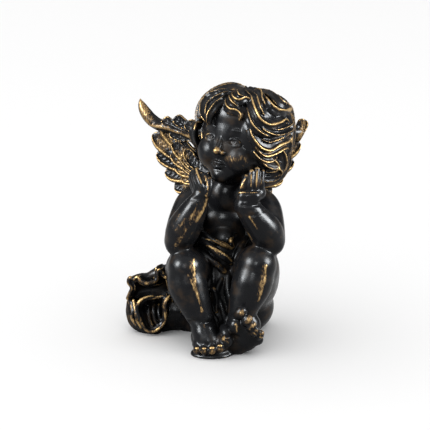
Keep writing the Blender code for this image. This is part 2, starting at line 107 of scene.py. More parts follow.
def blob(middle, radii, place=None, turn=None, square=1.0, rings=22, sides=32):
    # an ellipsoid: middle + radii * (sin v cos u, sin v sin u, cos v), each raised to the power square,
    # and turned by three angles in degrees if asked
    v = np.linspace(0, np.pi, rings)[:, None]
    u = np.linspace(0, 2 * np.pi, sides, endpoint=False)[None, :]
    points = np.stack([np.sin(v) * np.cos(u), np.sin(v) * np.sin(u), np.cos(v) + 0 * u], axis=-1)
    points = np.sign(points) * np.abs(points) ** square * np.array(radii)
    if turn is not None:
        ax, ay, az = (math.radians(t) for t in turn)
        spin = Matrix.Rotation(az, 4, "Z") @ Matrix.Rotation(ay, 4, "Y") @ Matrix.Rotation(ax, 4, "X")
        points = moved(points, spin)
    return moved(points + np.array(middle), place)


def closedRings(rings):
    # the rings with their own middles added at both ends, so the skin is closed
    rings = np.array(rings)
    sides = rings.shape[1]
    ends = [np.repeat(ring.mean(axis=0)[None, None], sides, axis=1) for ring in (rings[0], rings[-1])]
    return np.concatenate([ends[0], rings, ends[1]])


def blade(path, ups, widths, heights, depth, crest, sides=44):
    # a leaf carried along a path: across = cos a, its top raised by heights * crest(across, share),
    # its bottom sunk by depth, and both flattened where it is narrow
    ahead = unitRows(np.gradient(path, axis=0))
    up = unitRows(ups - ahead * np.sum(ups * ahead, axis=1, keepdims=True))
    side = np.cross(ahead, up)
    a = np.linspace(0, 2 * np.pi, sides, endpoint=False)[None, :]
    across = np.cos(a) + 0 * widths[:, None]
    share = np.linspace(0, 1, len(path))[:, None]
    rise = np.where(np.sin(a) > 0, heights[:, None] * crest(across, share), -depth * np.abs(np.sin(a)))
    rise = rise * np.minimum(1, widths[:, None] / (0.3 * widths.max()))
    out = side[:, None] * (across * widths[:, None])[..., None]
    return closedRings(path[:, None] + out + up[:, None] * rise[..., None])


def meshFromForms(name, forms):
    # all ring grids as one mesh of quads: corner i,j joins i,j+1 and i+1,j
    points, quads, start = [], [], 0
    for form in forms:
        rows, sides = form.shape[:2]
        i = np.arange(rows - 1)[:, None] * sides
        j = np.arange(sides)[None, :]
        k = (j + 1) % sides
        quads.append(np.stack([i + j, i + k, i + sides + k, i + sides + j], axis=-1).reshape(-1, 4) + start)
        points.append(form.reshape(-1, 3))
        start += rows * sides
    return meshFromArrays(name, np.vstack(points), np.vstack(quads))


def meshFromArrays(name, points, quads):
    # vertices, loops and faces put in whole
    mesh = bpy.data.meshes.new(name)
    mesh.vertices.add(len(points))
    mesh.vertices.foreach_set("co", points.astype(np.float32).ravel())
    mesh.loops.add(quads.size)
    mesh.loops.foreach_set("vertex_index", quads.astype(np.int32).ravel())
    mesh.polygons.add(len(quads))
    mesh.polygons.foreach_set("loop_start", (np.arange(len(quads)) * quads.shape[1]).astype(np.int32))
    mesh.update(calc_edges=True)
    mesh.validate()
    return mesh


def finishedMesh(obj):
    # the mesh that the object's modifiers make; the object is used up
    bpy.context.view_layer.update()
    graph = bpy.context.evaluated_depsgraph_get()
    mesh = bpy.data.meshes.new_from_object(obj.evaluated_get(graph))
    bpy.data.objects.remove(obj)
    return mesh


def holder(name, mesh):
    obj = bpy.data.objects.new(name, mesh)
    bpy.context.scene.collection.objects.link(obj)
    return obj


def fused(name, meshes, grain, passes):
    # every form in one skin: joined, remeshed on a grid of this grain, and smoothed
    points, quads, start = [], [], 0
    for mesh in meshes:
        p, q = meshArrays(mesh)
        points.append(p)
        quads.append(q + start)
        start += len(p)
    obj = holder(name, meshFromArrays(name, np.vstack(points), np.vstack(quads)))
    remesh = obj.modifiers.new("fuse", "REMESH")
    remesh.mode = "VOXEL"
    remesh.voxel_size = grain
    smooth = obj.modifiers.new("smooth", "SMOOTH")
    smooth.factor = 0.5
    smooth.iterations = passes
    return finishedMesh(obj)


def meshArrays(mesh):
    # points and quads of a mesh that is all quads
    points = np.empty(len(mesh.vertices) * 3, np.float32)
    mesh.vertices.foreach_get("co", points)
    corners = np.empty(len(mesh.loops), np.int32)
    mesh.loops.foreach_get("vertex_index", corners)
    return points.reshape(-1, 3).astype(float), corners.reshape(-1, 4)


def edgesOf(quads):
    # each side of each quad once
    sides = np.vstack([quads[:, [0, 1]], quads[:, [1, 2]], quads[:, [2, 3]], quads[:, [3, 0]]])
    sides.sort(axis=1)
    return np.unique(sides, axis=0)


def outerShell(points, quads):
    # labels spread along edges until each shell has one, then the largest shell is kept
    ends = edgesOf(quads)
    label = np.arange(len(points))
    while True:
        low = np.minimum(label[ends[:, 0]], label[ends[:, 1]])
        new = label.copy()
        np.minimum.at(new, label[ends[:, 0]], low)
        np.minimum.at(new, label[ends[:, 1]], low)
        new = new[new]
        new = new[new]
        if np.array_equal(new, label):
            break
        label = new
    kept = label == np.bincount(label).argmax()
    number = np.cumsum(kept) - 1
    return points[kept], number[quads[kept[quads[:, 0]]]]


def smoothedRows(rows, ends, passes, count):
    # passes of halfway towards the mean of the neighbours
    degree = np.bincount(ends.ravel(), minlength=count).astype(float)[:, None]
    for _ in range(passes):
        total = np.empty_like(rows)
        for axis in range(rows.shape[1]):
            total[:, axis] = (np.bincount(ends[:, 0], rows[ends[:, 1], axis], count)
                              + np.bincount(ends[:, 1], rows[ends[:, 0], axis], count))
        rows = 0.5 * rows + 0.5 * total / degree
    return rows


def normalsOf(points, quads):
    # cross product of the diagonals, summed at each corner
    turns = np.cross(points[quads[:, 2]] - points[quads[:, 0]], points[quads[:, 3]] - points[quads[:, 1]])
    sums = [np.bincount(quads.ravel(), np.repeat(turns[:, axis], 4), len(points)) for axis in range(3)]
    return unitRows(np.stack(sums, axis=1))


def distanceToLine(points, line, reach):
    # the shortest distance from each point to a polyline, and infinite beyond reach of its box
    line = np.array(line, float)[:, :3]
    near = np.all((points > line.min(axis=0) - reach) & (points < line.max(axis=0) + reach), axis=1)
    index = np.nonzero(near)[0]
    best = np.full(len(index), np.inf)
    for a, b in zip(line, line[1:]):
        along = b - a
        t = np.clip((points[index] - a) @ along / max(along @ along, 1e-9), 0, 1)
        best = np.minimum(best, np.linalg.norm(points[index] - a - t[:, None] * along, axis=1))
    return index, best


# The head's own frame: +X to its left, +Y to the back, +Z to the crown

headShape = {
    "middle": (18.5, -5.5, 159.5), "turn": -31, "lift": 7, "lean": 7,
    # the hair's shell: its middle and radii, and how far the fused shell is shifted back and up
    "hairMiddle": np.array((0.2, 3.5, 1.6)), "hairShell": np.array((31.2, 33.2, 29.8)),
    "shellShift": (0, 3.5, 1),
}
headPlace = (Matrix.Translation(headShape["middle"])
             @ Matrix.Rotation(math.radians(headShape["lean"]), 4, "Y")
             @ Matrix.Rotation(math.radians(headShape["turn"]), 4, "Z")
             @ Matrix.Rotation(math.radians(-headShape["lift"]), 4, "X"))
headTurn = np.array(headPlace.to_3x3())


# Body: balls as middle and radii, a trunk of oval sections, and tapering limbs as (x, y, z, radius)

body = {
    "torso": (
        ((7, 20, 27), (25, 22, 25)), ((-8, 22, 19), (19.5, 22, 21)), ((25.5, 19, 17), (21.5, 22, 21)),
        ((7, 5, 50), (23, 21, 22)), ((7, 2, 80), (22.5, 16.5, 22)), ((7, 4, 99), (26, 13.5, 13)),
        ((7, -4, 76), (17, 14, 17)), ((7, -1, 92), (18, 12, 14)), ((8.5, -3, 113), (14.5, 13.5, 15)),
    ),
    # oval sections from the hips to the shoulders, as (x, y, z, half width, half depth)
    "trunk": ((5, 19, 8, 33, 26), (6, 18.5, 24, 33, 26), (7, 15, 40, 30.5, 24.5), (7, 11, 54, 27.5, 21),
              (7, 8, 68, 25, 17.6),
              (7, 6, 82, 24.5, 15.8), (7, 5, 95, 26, 15), (7, 4.5, 104, 25, 13), (7, 4, 111, 17, 9)),
    # two parts of each arm, right then left, two of each leg, and the neck
    "limbs": (
        ((-14.5, 6, 105, 13.8), (-19, -1, 101, 13.2), (-24.5, -13, 91, 12), (-27, -24, 82, 11.4)),
        ((-27, -25, 82, 11.4), (-23.5, -29, 92, 12.8), (-16, -33, 107, 10.2), (-10.6, -35, 118, 6.8)),
        ((31.5, 6, 103, 14.4), (37, -1, 99.5, 14), (40, -12, 91, 12.8), (41, -22, 82, 12.2)),
        ((41, -24, 82, 12), (37, -28, 91, 13), (28.5, -32, 103, 10.6), (22.5, -33.5, 111, 8.8)),
        ((-8, 17, 28, 21), (-15.5, -4, 45, 20.5), (-21, -24, 59.5, 17), (-22, -33, 63.5, 13.8)),
        ((-22, -33, 63, 13.4), (-20.5, -34.5, 50, 15.2), (-15, -38, 36, 12.4), (-10.5, -40, 26, 9.6)),
        ((24.5, 17, 28, 21.5), (29, -4, 45, 20.5), (31.5, -24, 61, 17.4), (31.5, -32, 65, 14.8)),
        ((31, -32, 64, 14.2), (27.5, -34.5, 51, 15.4), (22.5, -37.5, 38, 12.6), (19, -40, 27, 9.8)),
        ((8, 3, 102, 14), (11, -2, 120, 12.5), (15, -5, 138, 13)),
    ),
    "roundings": (((-28, -28, 80), (9.5, 9, 9)), ((42, -27, 80), (10, 9, 9))),
}


def bodyForms():
    # the trunk is middle + (half width * cos a, half depth * sin a) in each of its sections
    forms = [blob(middle, radii) for middle, radii in body["torso"] + body["roundings"]]
    rows = curveThrough(body["trunk"], 6)[:, :, None]
    a = np.linspace(0, 2 * np.pi, 48, endpoint=False)[None, :]
    x = rows[:, 0] + rows[:, 3] * np.cos(a)
    y = rows[:, 1] + rows[:, 4] * np.sin(a)
    trunk = closedRings(np.stack([x, y, rows[:, 2] + 0 * a], axis=-1))
    return forms + [trunk] + [tube(stations) for stations in body["limbs"]]


# Feet: the right stands flat, the left is tipped up on its heel with its sole to the front

feet = {
    "rightBalls": (((-9, -34, 9), (9.5, 10, 10.5)), ((-3, -47, 8), (14.5, 10.5, 7)),
                   ((-2.5, -46.5, 0.5), (16.5, 12.4, 4.4))),
    "rightInstep": ((-9.5, -39, 22, 9.6), (-7.5, -44.5, 15.5, 9.8), (-4.5, -49, 11, 8.4)),
    # toes as (x, y, z, radius), the big toe first
    "rightToes": ((8.9, -54.6, 13.2, 4.5), (3.7, -57.4, 8.7, 3.4), (-2.2, -58.3, 7.3, 3.3),
                  (-7.9, -57.4, 6.6, 3.2),
                  (-13.2, -54.8, 6.0, 3.1)),
    "leftToes": ((19.7, -54.6, 36.0, 4.2), (24.5, -57.0, 30.8, 3.5), (27.6, -57.4, 26.5, 3.0),
                 (30.2, -56.6, 22.2, 2.85),
                 (33.8, -54.4, 18.8, 2.75)),
    # a right toe's steps from behind to its tip: share of x, back, up and share of its radius
    "rightSteps": ((0.8, 11, 5.4, 0.9), (0.93, 6, 4.4, 1), (1, 2.6, 2.0, 0.86), (1, -0.4, 0, 1)),
    # a left toe's: how far down the tipped foot, back and share of its radius
    "leftAlong": np.array((0.47, -0.30, 0.83)),
    "leftSteps": ((10, 3.6, 1.15), (5.4, 2.2, 0.95), (1.6, 0, 1.12), (0, 0, 1)),
    # middle, radii and turn of each ball of the tipped foot
    "leftBalls": (((17, -44.5, 8.5), (10, 8.8, 9.5), (0, 0, 0)), ((22, -45, 12), (11, 8.6, 10.5), (0, 0, 0)),
                  ((24, -48.5, 18), (15, 6.6, 7.4), (0, 39, 8)),
                  ((15.8, -51.5, 23.5), (6, 5.2, 6.6), (0, 0, 0)),
                  ((25, -42, 22), (10, 8, 9), (0, 39, 8))),
    "leftAnkle": ((18.5, -40, 25, 9.6), (19, -41, 18, 9.8)),
}


def footForms():
    # the flesh parts are fused before the toes are laid on; a toe narrows behind its tip
    flesh = [blob(m, r) for m, r in feet["rightBalls"]] + [tube(feet["rightInstep"])]
    flesh += [blob(m, r, turn=turn) for m, r, turn in feet["leftBalls"]] + [tube(feet["leftAnkle"])]
    toes = []
    for x, y, z, r in feet["rightToes"]:
        toes.append(tube([(x * share, y + back, z + up, r * thick) for share, back, up,
                          thick in feet["rightSteps"]]))
        # the nail
        toes.append(blob((x, y - r * 0.5, z + r * 0.66), (r * 0.6, r * 0.6, r * 0.36)))
    for *tip, r in feet["leftToes"]:
        steps = []
        for down, back, thick in feet["leftSteps"]:
            steps.append((*(np.array(tip) - feet["leftAlong"] * down + (0, back, 0)), r * thick))
        toes.append(tube(steps))
    return flesh, toes


# Hands: both hold the jaw, the right on its edge and the left with its fingers up along the cheek

hands = {
    # middle, radii and power of each ball
    "balls": (((-11.4, -33.4, 125.6), (5.2, 6.0, 8.6), 1), ((-7.4, -32.6, 126.5), (5.2, 5.2, 9.5), 1),
              ((-10, -35.6, 120), (6.4, 6.2, 6), 1), ((25, -35, 118.7), (9.2, 6.2, 4.9), 0.8),
              ((31, -30, 120), (7, 7, 6), 1), ((28, -29, 127), (9, 5, 9), 1)),
    "fingers": (
        ((19.8, -35.5, 121.5, 2.5), (20.6, -36.8, 127, 2.6), (23.2, -35.5, 133.2, 2.1)),
        ((24.6, -35, 121.5, 2.7), (25.6, -36.2, 128, 2.7), (27, -33.8, 136.4, 2.1)),
        ((29.2, -33.8, 121.5, 2.7), (30, -34.8, 129, 2.6), (31.2, -32, 138, 2.0)),
        ((33.4, -32, 121.5, 2.6), (34, -32.8, 128, 2.5), (34.9, -30.2, 136, 1.9)),
        ((-8.2, -39.4, 121, 2.7), (-10.0, -39.4, 127.5, 2.5), (-12.6, -35.5, 133.4, 2.3),
         (-13.2, -31, 137.4, 1.9)),
        ((-11.2, -37.4, 121.4, 2.7), (-13.0, -36.4, 127.6, 2.5), (-15.4, -32, 132.8, 2.2),
         (-15.8, -28, 136, 1.8)),
        ((-13.2, -34.4, 121.4, 2.7), (-15.2, -33, 127, 2.4), (-17.2, -28.6, 131.4, 2.1),
         (-17.6, -25, 134, 1.8)),
        ((-14.4, -31.2, 121, 2.6), (-16.4, -29.6, 125.6, 2.3), (-18.2, -25.6, 129.4, 2.0)),
        ((-9.2, -37.4, 117.5, 3.8), (-6.2, -39.0, 122, 3.5), (-4.4, -38.6, 127, 3.0),
         (-4.0, -36.6, 131, 2.5)),
    ),
}


def handForms():
    # balls for the palms, and a tube for each finger
    flesh = [blob(m, r, square=square) for m, r, square in hands["balls"]]
    return flesh, [tube(stations) for stations in hands["fingers"]]


# Head: the balls it is fused from, as middle and radii in the head's own frame

headFlesh = (
    ((0, 1, 3), (26.0, 29.0, 31.5)), ((0, -8, -9.5), (22.5, 19.5, 20.5)),
    ((11, -12.6, -15), (13.4, 13.4, 14.2)),
    ((-11, -12.6, -15), (13.4, 13.4, 14.2)), ((0, -12.5, -25), (14.5, 11.5, 10.5)),
    ((0, -17.4, -31), (7.8, 7, 6.4)),
    ((0, -5, -27), (17, 13, 11)),
    ((0, -17, 13), (19, 11.5, 13)),
)
face = {
    "eye": np.array((10.4, -19.7, -5.2)), "eyeball": 5.7, "lid": 6.4, "lidReach": 9,
    "almond": (5.2, 2.5, 2.0),  # half width, rise of the upper lid, drop of the lower
    "gaze": np.array((0.0, -0.985, 0.17)), "iris": 2.3, "pupil": 0.85,
    "bridge": ((0, -24.6, 0.4, 2.0), (0, -26.6, -6, 2.1), (0, -28.8, -12, 2.6)),
    "nose": (((0, -29.4, -13.2), (3.2, 3.0, 2.9)), ((3.3, -26.8, -14.0), (2.2, 2.7, 2.1)),
             ((-3.3, -26.8, -14.0), (2.2, 2.7, 2.1))),
    "upperLip": ((-5.8, -23.0, -22.9, 0.7), (-2.6, -25.0, -21.9, 1.2), (0, -25.3, -22.2, 1.1),
                 (2.6, -25.0, -21.9, 1.2),
                 (5.8, -23.0, -22.9, 0.7)),
    "lowerLip": ((-4.6, -23.4, -23.9, 0.7), (0, -24.8, -24.9, 1.5), (4.6, -23.4, -23.9, 0.7)),
    "brow": ((3.5, -25.2, 1.6, 1.3), (9, -24.7, 3.8, 1.8), (15, -21.7, 2.8, 1.7), (18, -19.4, 0.8, 1.0)),
    "rubbed": (((0, -31.8, -12.6), 3.6, 0.66), ((3.6, -28.6, -14), 2.6, 0.50)),
    "nostril": (1.9, -28.6, -15.8), "mouthLine": -23.1, "groove": (0, -26.0, -18.8),
    "underLip": (0, -24.0, -27.4),
}


def faceForms():
    # nose, lips, brows and lids; the eye openings are cut into the lids later
    forms = [tube(face[name], headPlace) for name in ("bridge", "upperLip", "lowerLip")]
    forms += [blob(m, r, headPlace) for m, r in face["nose"]]
    for side in (-1, 1):
        mirror = np.array((side, 1, 1))
        forms.append(blob(face["eye"] * mirror, (face["lid"],) * 3, headPlace))
        forms.append(tube(np.array(face["brow"]) * np.array((side, 1, 1, 1)), headPlace))
    return forms


# Hair: locks laid over a shell and the balls that fill it out

hair = {
    # locks seen from the front: places in the photograph's frame, steps on round the head (azimuth,
    # elevation), half width, and how much gold the crest carries
    "seen": (
        (((224.7, 96), (225.8, 104), (230, 109), (236, 110.3), (240.5, 114), (239.6, 119)), (), 3.2, 0.85),
        (((228.7, 93), (230, 99), (232.6, 103), (237, 105)), (), 2.7, 0.6),
        (((231.5, 89.5), (232.2, 95), (235, 99), (239.5, 100.4), (246.3, 97.8), (251.5, 99.8)), (), 3.2, 0.9),
        (((238, 88), (237.4, 92), (239.4, 95.6), (244, 95.6)), (), 2.6, 0.5),
        (((246, 86.5), (250, 93), (252.2, 99.3), (255, 107.3), (259.5, 117.2), (265.4, 122.7), (272, 124.6),
          (281.5, 122), (286, 119)), ((10, -2), (22, -10)), 4.4, 1.0),
        (((252.5, 89), (256.5, 96), (258.8, 102), (261.7, 109.5), (265.5, 114.5)), (), 3.0, 0.6),
        (((256, 86.5), (260, 91), (262.5, 97.2), (266.5, 102.5)), (), 3.0, 0.6),
        (((262, 88), (266, 96), (271.3, 103.2), (276, 107.6), (283.7, 110.3), (290, 109.5), (293.5, 114)),
         ((5, -12),), 4.4, 0.85),
        (((268, 88), (274, 93.5), (281, 99.5), (287.5, 104.5)), ((10, 0), (22, -6)), 3.6, 0.45),
        (((274, 88.6), (281, 92), (287.5, 98)), ((14, 0), (28, -8)), 3.6, 0.4),
        (((247.6, 107), (249, 114.7), (251.5, 122), (256.6, 128.6), (263.9, 134), (271, 136.6)), (), 3.4,
         0.75),
        (((262, 126), (267, 131.3), (275.7, 134.8), (284.3, 134), (291, 130.5)), ((12, 2), (24, -6)), 3.8,
         0.35),
        (((272, 128.5), (279, 129.5), (286, 127.5), (292, 123)), ((10, 4), (22, 0)), 3.0, 0.3),
        (((250.6, 129), (253, 136.7), (258, 144), (263, 148.6), (270.5, 150), (279, 145), (287.4, 141.6)),
         ((10, 2), (24, -4)), 4.4, 1.0),
        (((264, 140), (270, 142.4), (278, 139.4), (286, 135.6)), ((10, 2), (22, -3)), 3.0, 0.5),
        (((255.4, 147.6), (260, 152.5), (265.4, 155.6), (272.7, 154.2), (282, 149.4)), ((12, 2), (24, -2)),
         3.5, 0.85),
        (((254.6, 153), (258.8, 157.4), (264.7, 160.6), (272, 161.3), (279.6, 158.6)), (), 3.3, 0.7),
        (((271, 158), (277, 162.6), (279, 167.5), (275.7, 171.8), (268, 174.5)), (), 3.3, 0.8),
        (((283, 148), (286, 155.7), (285.6, 166), (281, 173.4), (272, 180)), (), 4.6, 0.55),
        (((228, 86.6), (223.6, 88.6), (217, 91.6), (208.6, 95.4), (203.8, 101), (201.4, 107.7), (200.4, 114),
          (202, 120)), (), 3.9, 0.5),
        (((226.6, 88.6), (222, 93.4), (215.6, 97.8), (209.5, 102.8), (206, 109), (204.2, 116)), (), 2.9, 0.4),
        (((225.6, 91.4), (221.7, 97.7), (216.4, 103.2), (211.8, 108.8), (207.4, 115.4), (205.4, 123.4)), (),
         3.2, 0.55),
    ),
    "lifts": ((0, 0.3, 0.75, 1), (1.2, 4.4, 4.8, 2.4)), "proud": (7, 4.5),
    # locks out of the front's sight, as (azimuth, elevation, lift) with their half width
    "around": (
        (((112, 76, 3), (90, 58, 5.6), (90, 46, 6.4), (103, 40, 7), (118, 36, 6.6), (125, 27, 6),
          (114, 21, 5)), 4.6),
        (((132, 66, 3), (124, 48, 5.6), (132, 34, 6), (130, 20, 5.4), (116, 12, 4.6)), 4.6),
        (((54, -22, 2.2), (65, -28, 5), (76, -30, 6.2), (88, -29, 6.6), (98, -33, 6.6), (98, -41, 6.2),
          (86, -47, 5), (74, -47, 3)), 4),
        (((112, -12, 4.6), (118, -24, 6.6), (113, -38, 7.4), (102, -48, 7.4), (88, -55, 6.4), (74, -57, 4)),
         5.2),
        (((60, -38, 2), (68, -46, 4), (78, -58, 5), (94, -66, 5)), 4.4),
        (((-60, 78, 3), (-76, 60, 5), (-80, 40, 5.4), (-74, 22, 4.6), (-68, 8, 3)), 4.8),
        (((-90, 74, 3), (-100, 50, 5), (-94, 28, 5.2), (-86, 10, 4.6), (-74, -6, 3)), 5),
        (((-72, 4, 3), (-66, -8, 4.6), (-72, -22, 4.6), (-84, -32, 3)), 4.4),
        (((-30, 80, 2), (-38, 60, 4.4), (-46, 42, 5), (-52, 24, 4.4), (-50, 8, 2.2)), 4.2),
        (((-46, 78, 2), (-56, 58, 4.6), (-62, 38, 5), (-62, 20, 4.4), (-57, 2, 2.2)), 4.4),
    ),
    # long wavy locks down the back, a layer at a time: how many, first and last azimuth, top and bottom
    # elevation, half width, and how far they turn at the crown
    "layers": ((11, 98, 252, 85, -50, 5.7, 70), (10, 106, 246, 40, -56, 5.0, 0)),
    "wave": 7.0, "layerHeight": 3.6, "layerLifts": ((0, 0.15, 0.7, 1), (0.6, 4.6, 5.2, 2.2)),
    "aroundGold": 0.5,
    # gold on a crest: the share of its length, reach in mm and strength
    "crestGold": ((0.04, 0.96, 0.8, 0.62), (0.18, 0.88, 1.35, 0.80), (0.32, 0.76, 1.75, 0.90)),
    "sideGold": (0.6, 0.6, 0.66),
    # a lock's height, how much its width adds, its depth, and the ridge on its crest and on each side
    "height": 4.3, "heightByWidth": 0.12, "depth": 2.6, "ridge": 0.28, "sideRidge": 0.60, "sideHeight": 0.20,
    # how high the side gold lies, how far a lock sinks in a ball, and how much of its lift counts there
    "sideRise": 0.45, "tuck": -0.6, "ballLift": 0.35,
    # balls that fill the hair out below the crown: middle and radii
    "fullness": (((13, 8, -11), (20.5, 25, 23)), ((-8, 12, -14), (20, 20, 22)), ((18, -8, 6), (14, 17, 22)),
                 ((25, 2, 4), (9, 18, 20))),
}


def meetsBall(start, ways, middle, radii, side):
    # the near (-1) or far (1) root t of |(start + t * way - middle) / radii| = 1, and whether there is one
    o, d = (start - middle) / radii, ways / radii
    a, b, c = np.sum(d ** 2, axis=1), d @ o, o @ o - 1
    within = b ** 2 - a * c
    return (-b + side * np.sqrt(np.maximum(within, 0))) / a, within > 0


def onHair(rows):
    # middle + (shell + lift) * direction, or just above the balls where they stand out beyond the shell
    a, e = np.radians(rows[:, 0]), np.radians(rows[:, 1])
    way = np.stack([np.cos(e) * np.sin(a), -np.cos(e) * np.cos(a), np.sin(e)], axis=1)
    points = headShape["hairMiddle"] + way * (headShape["hairShell"] + rows[:, 2:3])
    reach = np.linalg.norm(points - headShape["hairMiddle"], axis=1)
    for middle, radii in hair["fullness"]:
        root, met = meetsBall(headShape["hairMiddle"], way, middle, radii, 1)
        reach = np.maximum(reach, np.where(met, root + hair["tuck"] + hair["ballLift"] * rows[:, 2], 0))
    return moved(headShape["hairMiddle"] + way * reach[:, None], headPlace), way @ headTurn.T


def seenOnHair(line):
    # the camera's ray through each place meets the nearest shell or ball, let out by how proud a lock stands
    place = np.array(line, float)
    scale = view["span"] / view["size"] / view["distance"]
    ahead = (-viewBack + np.array((1, 0, 0)) * (place[:, :1] - view["size"] / 2) * scale
             + viewUp * (view["size"] / 2 - place[:, 1:]) * scale)
    start = (viewBack * view["distance"] + view["target"] - np.array(headPlace.translation)) @ headTurn
    ahead = ahead @ headTurn
    best = np.full(len(place), np.inf)
    shellProud, ballProud = hair["proud"]
    balls = [(headShape["hairMiddle"], headShape["hairShell"] + shellProud)]
    balls += [(np.array(middle), np.array(radii) + ballProud) for middle, radii in hair["fullness"]]
    for middle, radii in balls:
        root, met = meetsBall(start, ahead, middle, radii, -1)
        best = np.minimum(best, np.where(met, root, np.inf))
    # a ray that misses them all stops where it is nearest to the shell's middle
    middle, radii = balls[0]
    o, d = (start - middle) / radii, ahead / radii
    best = np.where(np.isfinite(best), best, -(d @ o) / np.sum(d ** 2, axis=1))
    way = unitRows(start + ahead * best[:, None] - headShape["hairMiddle"])
    return np.degrees(np.stack([np.arctan2(way[:, 0], -way[:, 1]), np.arcsin(way[:, 2])], axis=1))


# lines along the crests and sides of the locks, kept for the gilding
hairCrests = []
sideCrests = []


def lockHeight(width):
    return hair["height"] + hair["heightByWidth"] * width


def seenLock(line, onward, width, gilt):
    # the seen places turned to azimuth and elevation, then the steps past the last of them, lifted to a swell
    angles = seenOnHair(line)
    if onward:
        angles = np.vstack([angles, angles[-1] + np.array(onward)])
    share = np.linspace(0, 1, len(angles))
    lifts = np.interp(share, *hair["lifts"])
    return lockForm(np.column_stack([angles, lifts]), width, lockHeight(width), gilt)


def lockForm(stations, width, height, gilt):
    # a blade with one sharp crest and a faint ridge on each side, widest past its start and narrow at its tip
    path, ups = onHair(curveThrough(stations, 10))
    t = np.linspace(0, 1, len(path))
    widths = width * (0.14 + 0.86 * np.sin(np.pi * np.clip(0.10 + 0.86 * t, 0, 1)) ** 0.6)

    def crest(across, share):
        dome = np.sqrt(np.clip(1 - across ** 2, 0, 1))
        ridges = np.exp(-(across / hair["ridge"]) ** 2)
        ridges = ridges + hair["sideHeight"] * np.exp(-((np.abs(across) - hair["sideRidge"]) / 0.13) ** 2)
        return dome * (0.30 + 0.70 * np.minimum(1, ridges))

    heights = height * (0.35 + 0.65 * widths / width)
    hairCrests.append((path + ups * heights[:, None], gilt))
    across, reach, strength = hair["sideGold"]
    side = np.cross(unitRows(np.gradient(path, axis=0)), ups) * widths[:, None] * across
    for way in (-1, 1):
        sideCrests.append((path + side * way + ups * heights[:, None] * hair["sideRise"], reach,
                           strength * gilt))
    return blade(path, ups, widths, heights, hair["depth"], crest)


def backLocks(count, first, last, top, bottom, width, whorl, start):
    # each azimuth sways by wave * sin(3 pi t + phase) * sqrt(t) and is turned by whorl * (1 - t)^3
    t = np.linspace(0, 1, 10)
    lifts = np.interp(t, *hair["layerLifts"])
    locks = []
    for k in range(count):
        phase = 1.3 * k + start
        sway = hair["wave"] * np.sin(3 * np.pi * t + phase) * np.sqrt(t) + 11 * math.cos(phase) * t ** 4
        azimuths = first + (last - first) * k / (count - 1) + sway + whorl * (1 - t) ** 3
        elevations = top + (bottom + 5 * math.sin(2.1 * k) - top) * t
        stations = np.column_stack([azimuths, elevations, lifts])
        locks.append(lockForm(stations, width, hair["layerHeight"], hair["aroundGold"]))
    return locks


def hairForms():
    forms = [seenLock(*lock) for lock in hair["seen"]]
    for stations, width in hair["around"]:
        forms.append(lockForm(stations, width, lockHeight(width), hair["aroundGold"]))
    for start, layer in enumerate(hair["layers"]):
        forms += backLocks(*layer, 2 * start)
    return forms


def hairShellForms():
    shell = (headShape["hairMiddle"] + headShape["shellShift"], headShape["hairShell"])
    return [blob(m, r, headPlace) for m, r in (shell,) + hair["fullness"]]


# Wings: X runs out along the wing, Y to its front face and Z up

wings = {
    "root": (7, 21, 116), "apart": 9, "sweep": 21, "leftDroop": 8, "fanMiddle": (2, 0, 10),
    # the long feathers from the lowest up: angle and length
    "long": ((-48, 27), (-27, 33.5), (-4.5, 37.3), (14.6, 45.5), (28.8, 54), (43, 55)),
    # rows laid over them: shift between two feathers, share of their length, half width, height over the wing
    "rows": ((0, 1.0, 7.4, 0.8), (0.5, 0.66, 5.8, 3.6), (0, 0.44, 4.8, 5.8)),
    "small": (((8, 1.5, 36), 30, 21, 4.8), ((13, 4, 34), 26, 18, 4.2), ((20, 5, 34), 20, 14, 3.4)),
    "arm": ((-4, 0, -4, 6), (2, 0, 16, 7), (9, 0, 33, 7.5), (22, 1, 41.5, 6), (34, 1, 42.5, 5.2),
            (43, 1, 43, 4.8)),
    "band": ((51, 3.4, 43.4, 1.3), (42.5, 5.6, 43.2, 2.0), (33.5, 6.0, 42.4, 2.2), (28.4, 6.4, 40.6, 2.0),
             (22.9, 7, 39.6, 1.9),
             (16, 7, 37, 1.6)),
    "horn": ((51, 0.5, 47, 4.9), (56.6, 0, 53.0, 4.4), (59.4, 0, 58.4, 2.9), (60.6, 0, 62.6, 0.5)),
    "roundEnd": ((46.4, 0.5, 43, 4.6), (47, 0.5, 43.6, 4.4)), "leaf": ((46.0, 1.0, 37.0), 75, 18.0, 5.0),
    # small feathers that lap the top of the arm: root, angle, length, half width
    "cap": (((4, 6, 40), 28, 17, 5.4), ((14, 6, 43), 30, 17, 5.0), ((26, 5, 44), 22, 14, 4.4)),
    # a feather's height and depth, where its lower edge is rolled, and the half width from which it is gilded
    "featherHeight": 1.75, "featherDepth": 1.5, "rollAt": 0.76, "edgedFrom": 5.5,
    # mottled gold over the feathers: middle, reach and strength
    "mottle": (((24, 4, 20), 15, 0.46), ((40, 4, 30), 13, 0.46), ((22, 4, 2), 13, 0.42)),
    # gold on the rolled lower edge of each long feather: the share of its length, reach and strength
    "edgeGold": (0.40, 0.96, 1.5, 0.66),
    # gold along the band, the horn and the leaf: shift off their middle line, reach and strength
    "bandGold": (((0, 1.5, -0.4), 1.7, 0.62), ((0, 1.5, -0.4), 4.2, 0.46)),
    "hornGold": (((-0.6, 3.4, -1.0), 2.2, 0.60), ((0, 3, 0), 7.0, 0.54)), "leafGold": ((0, 3, 0), 5.0, 0.52),
}


# lines along the long feathers' lower edges, kept for the gilding
featherEdges = []


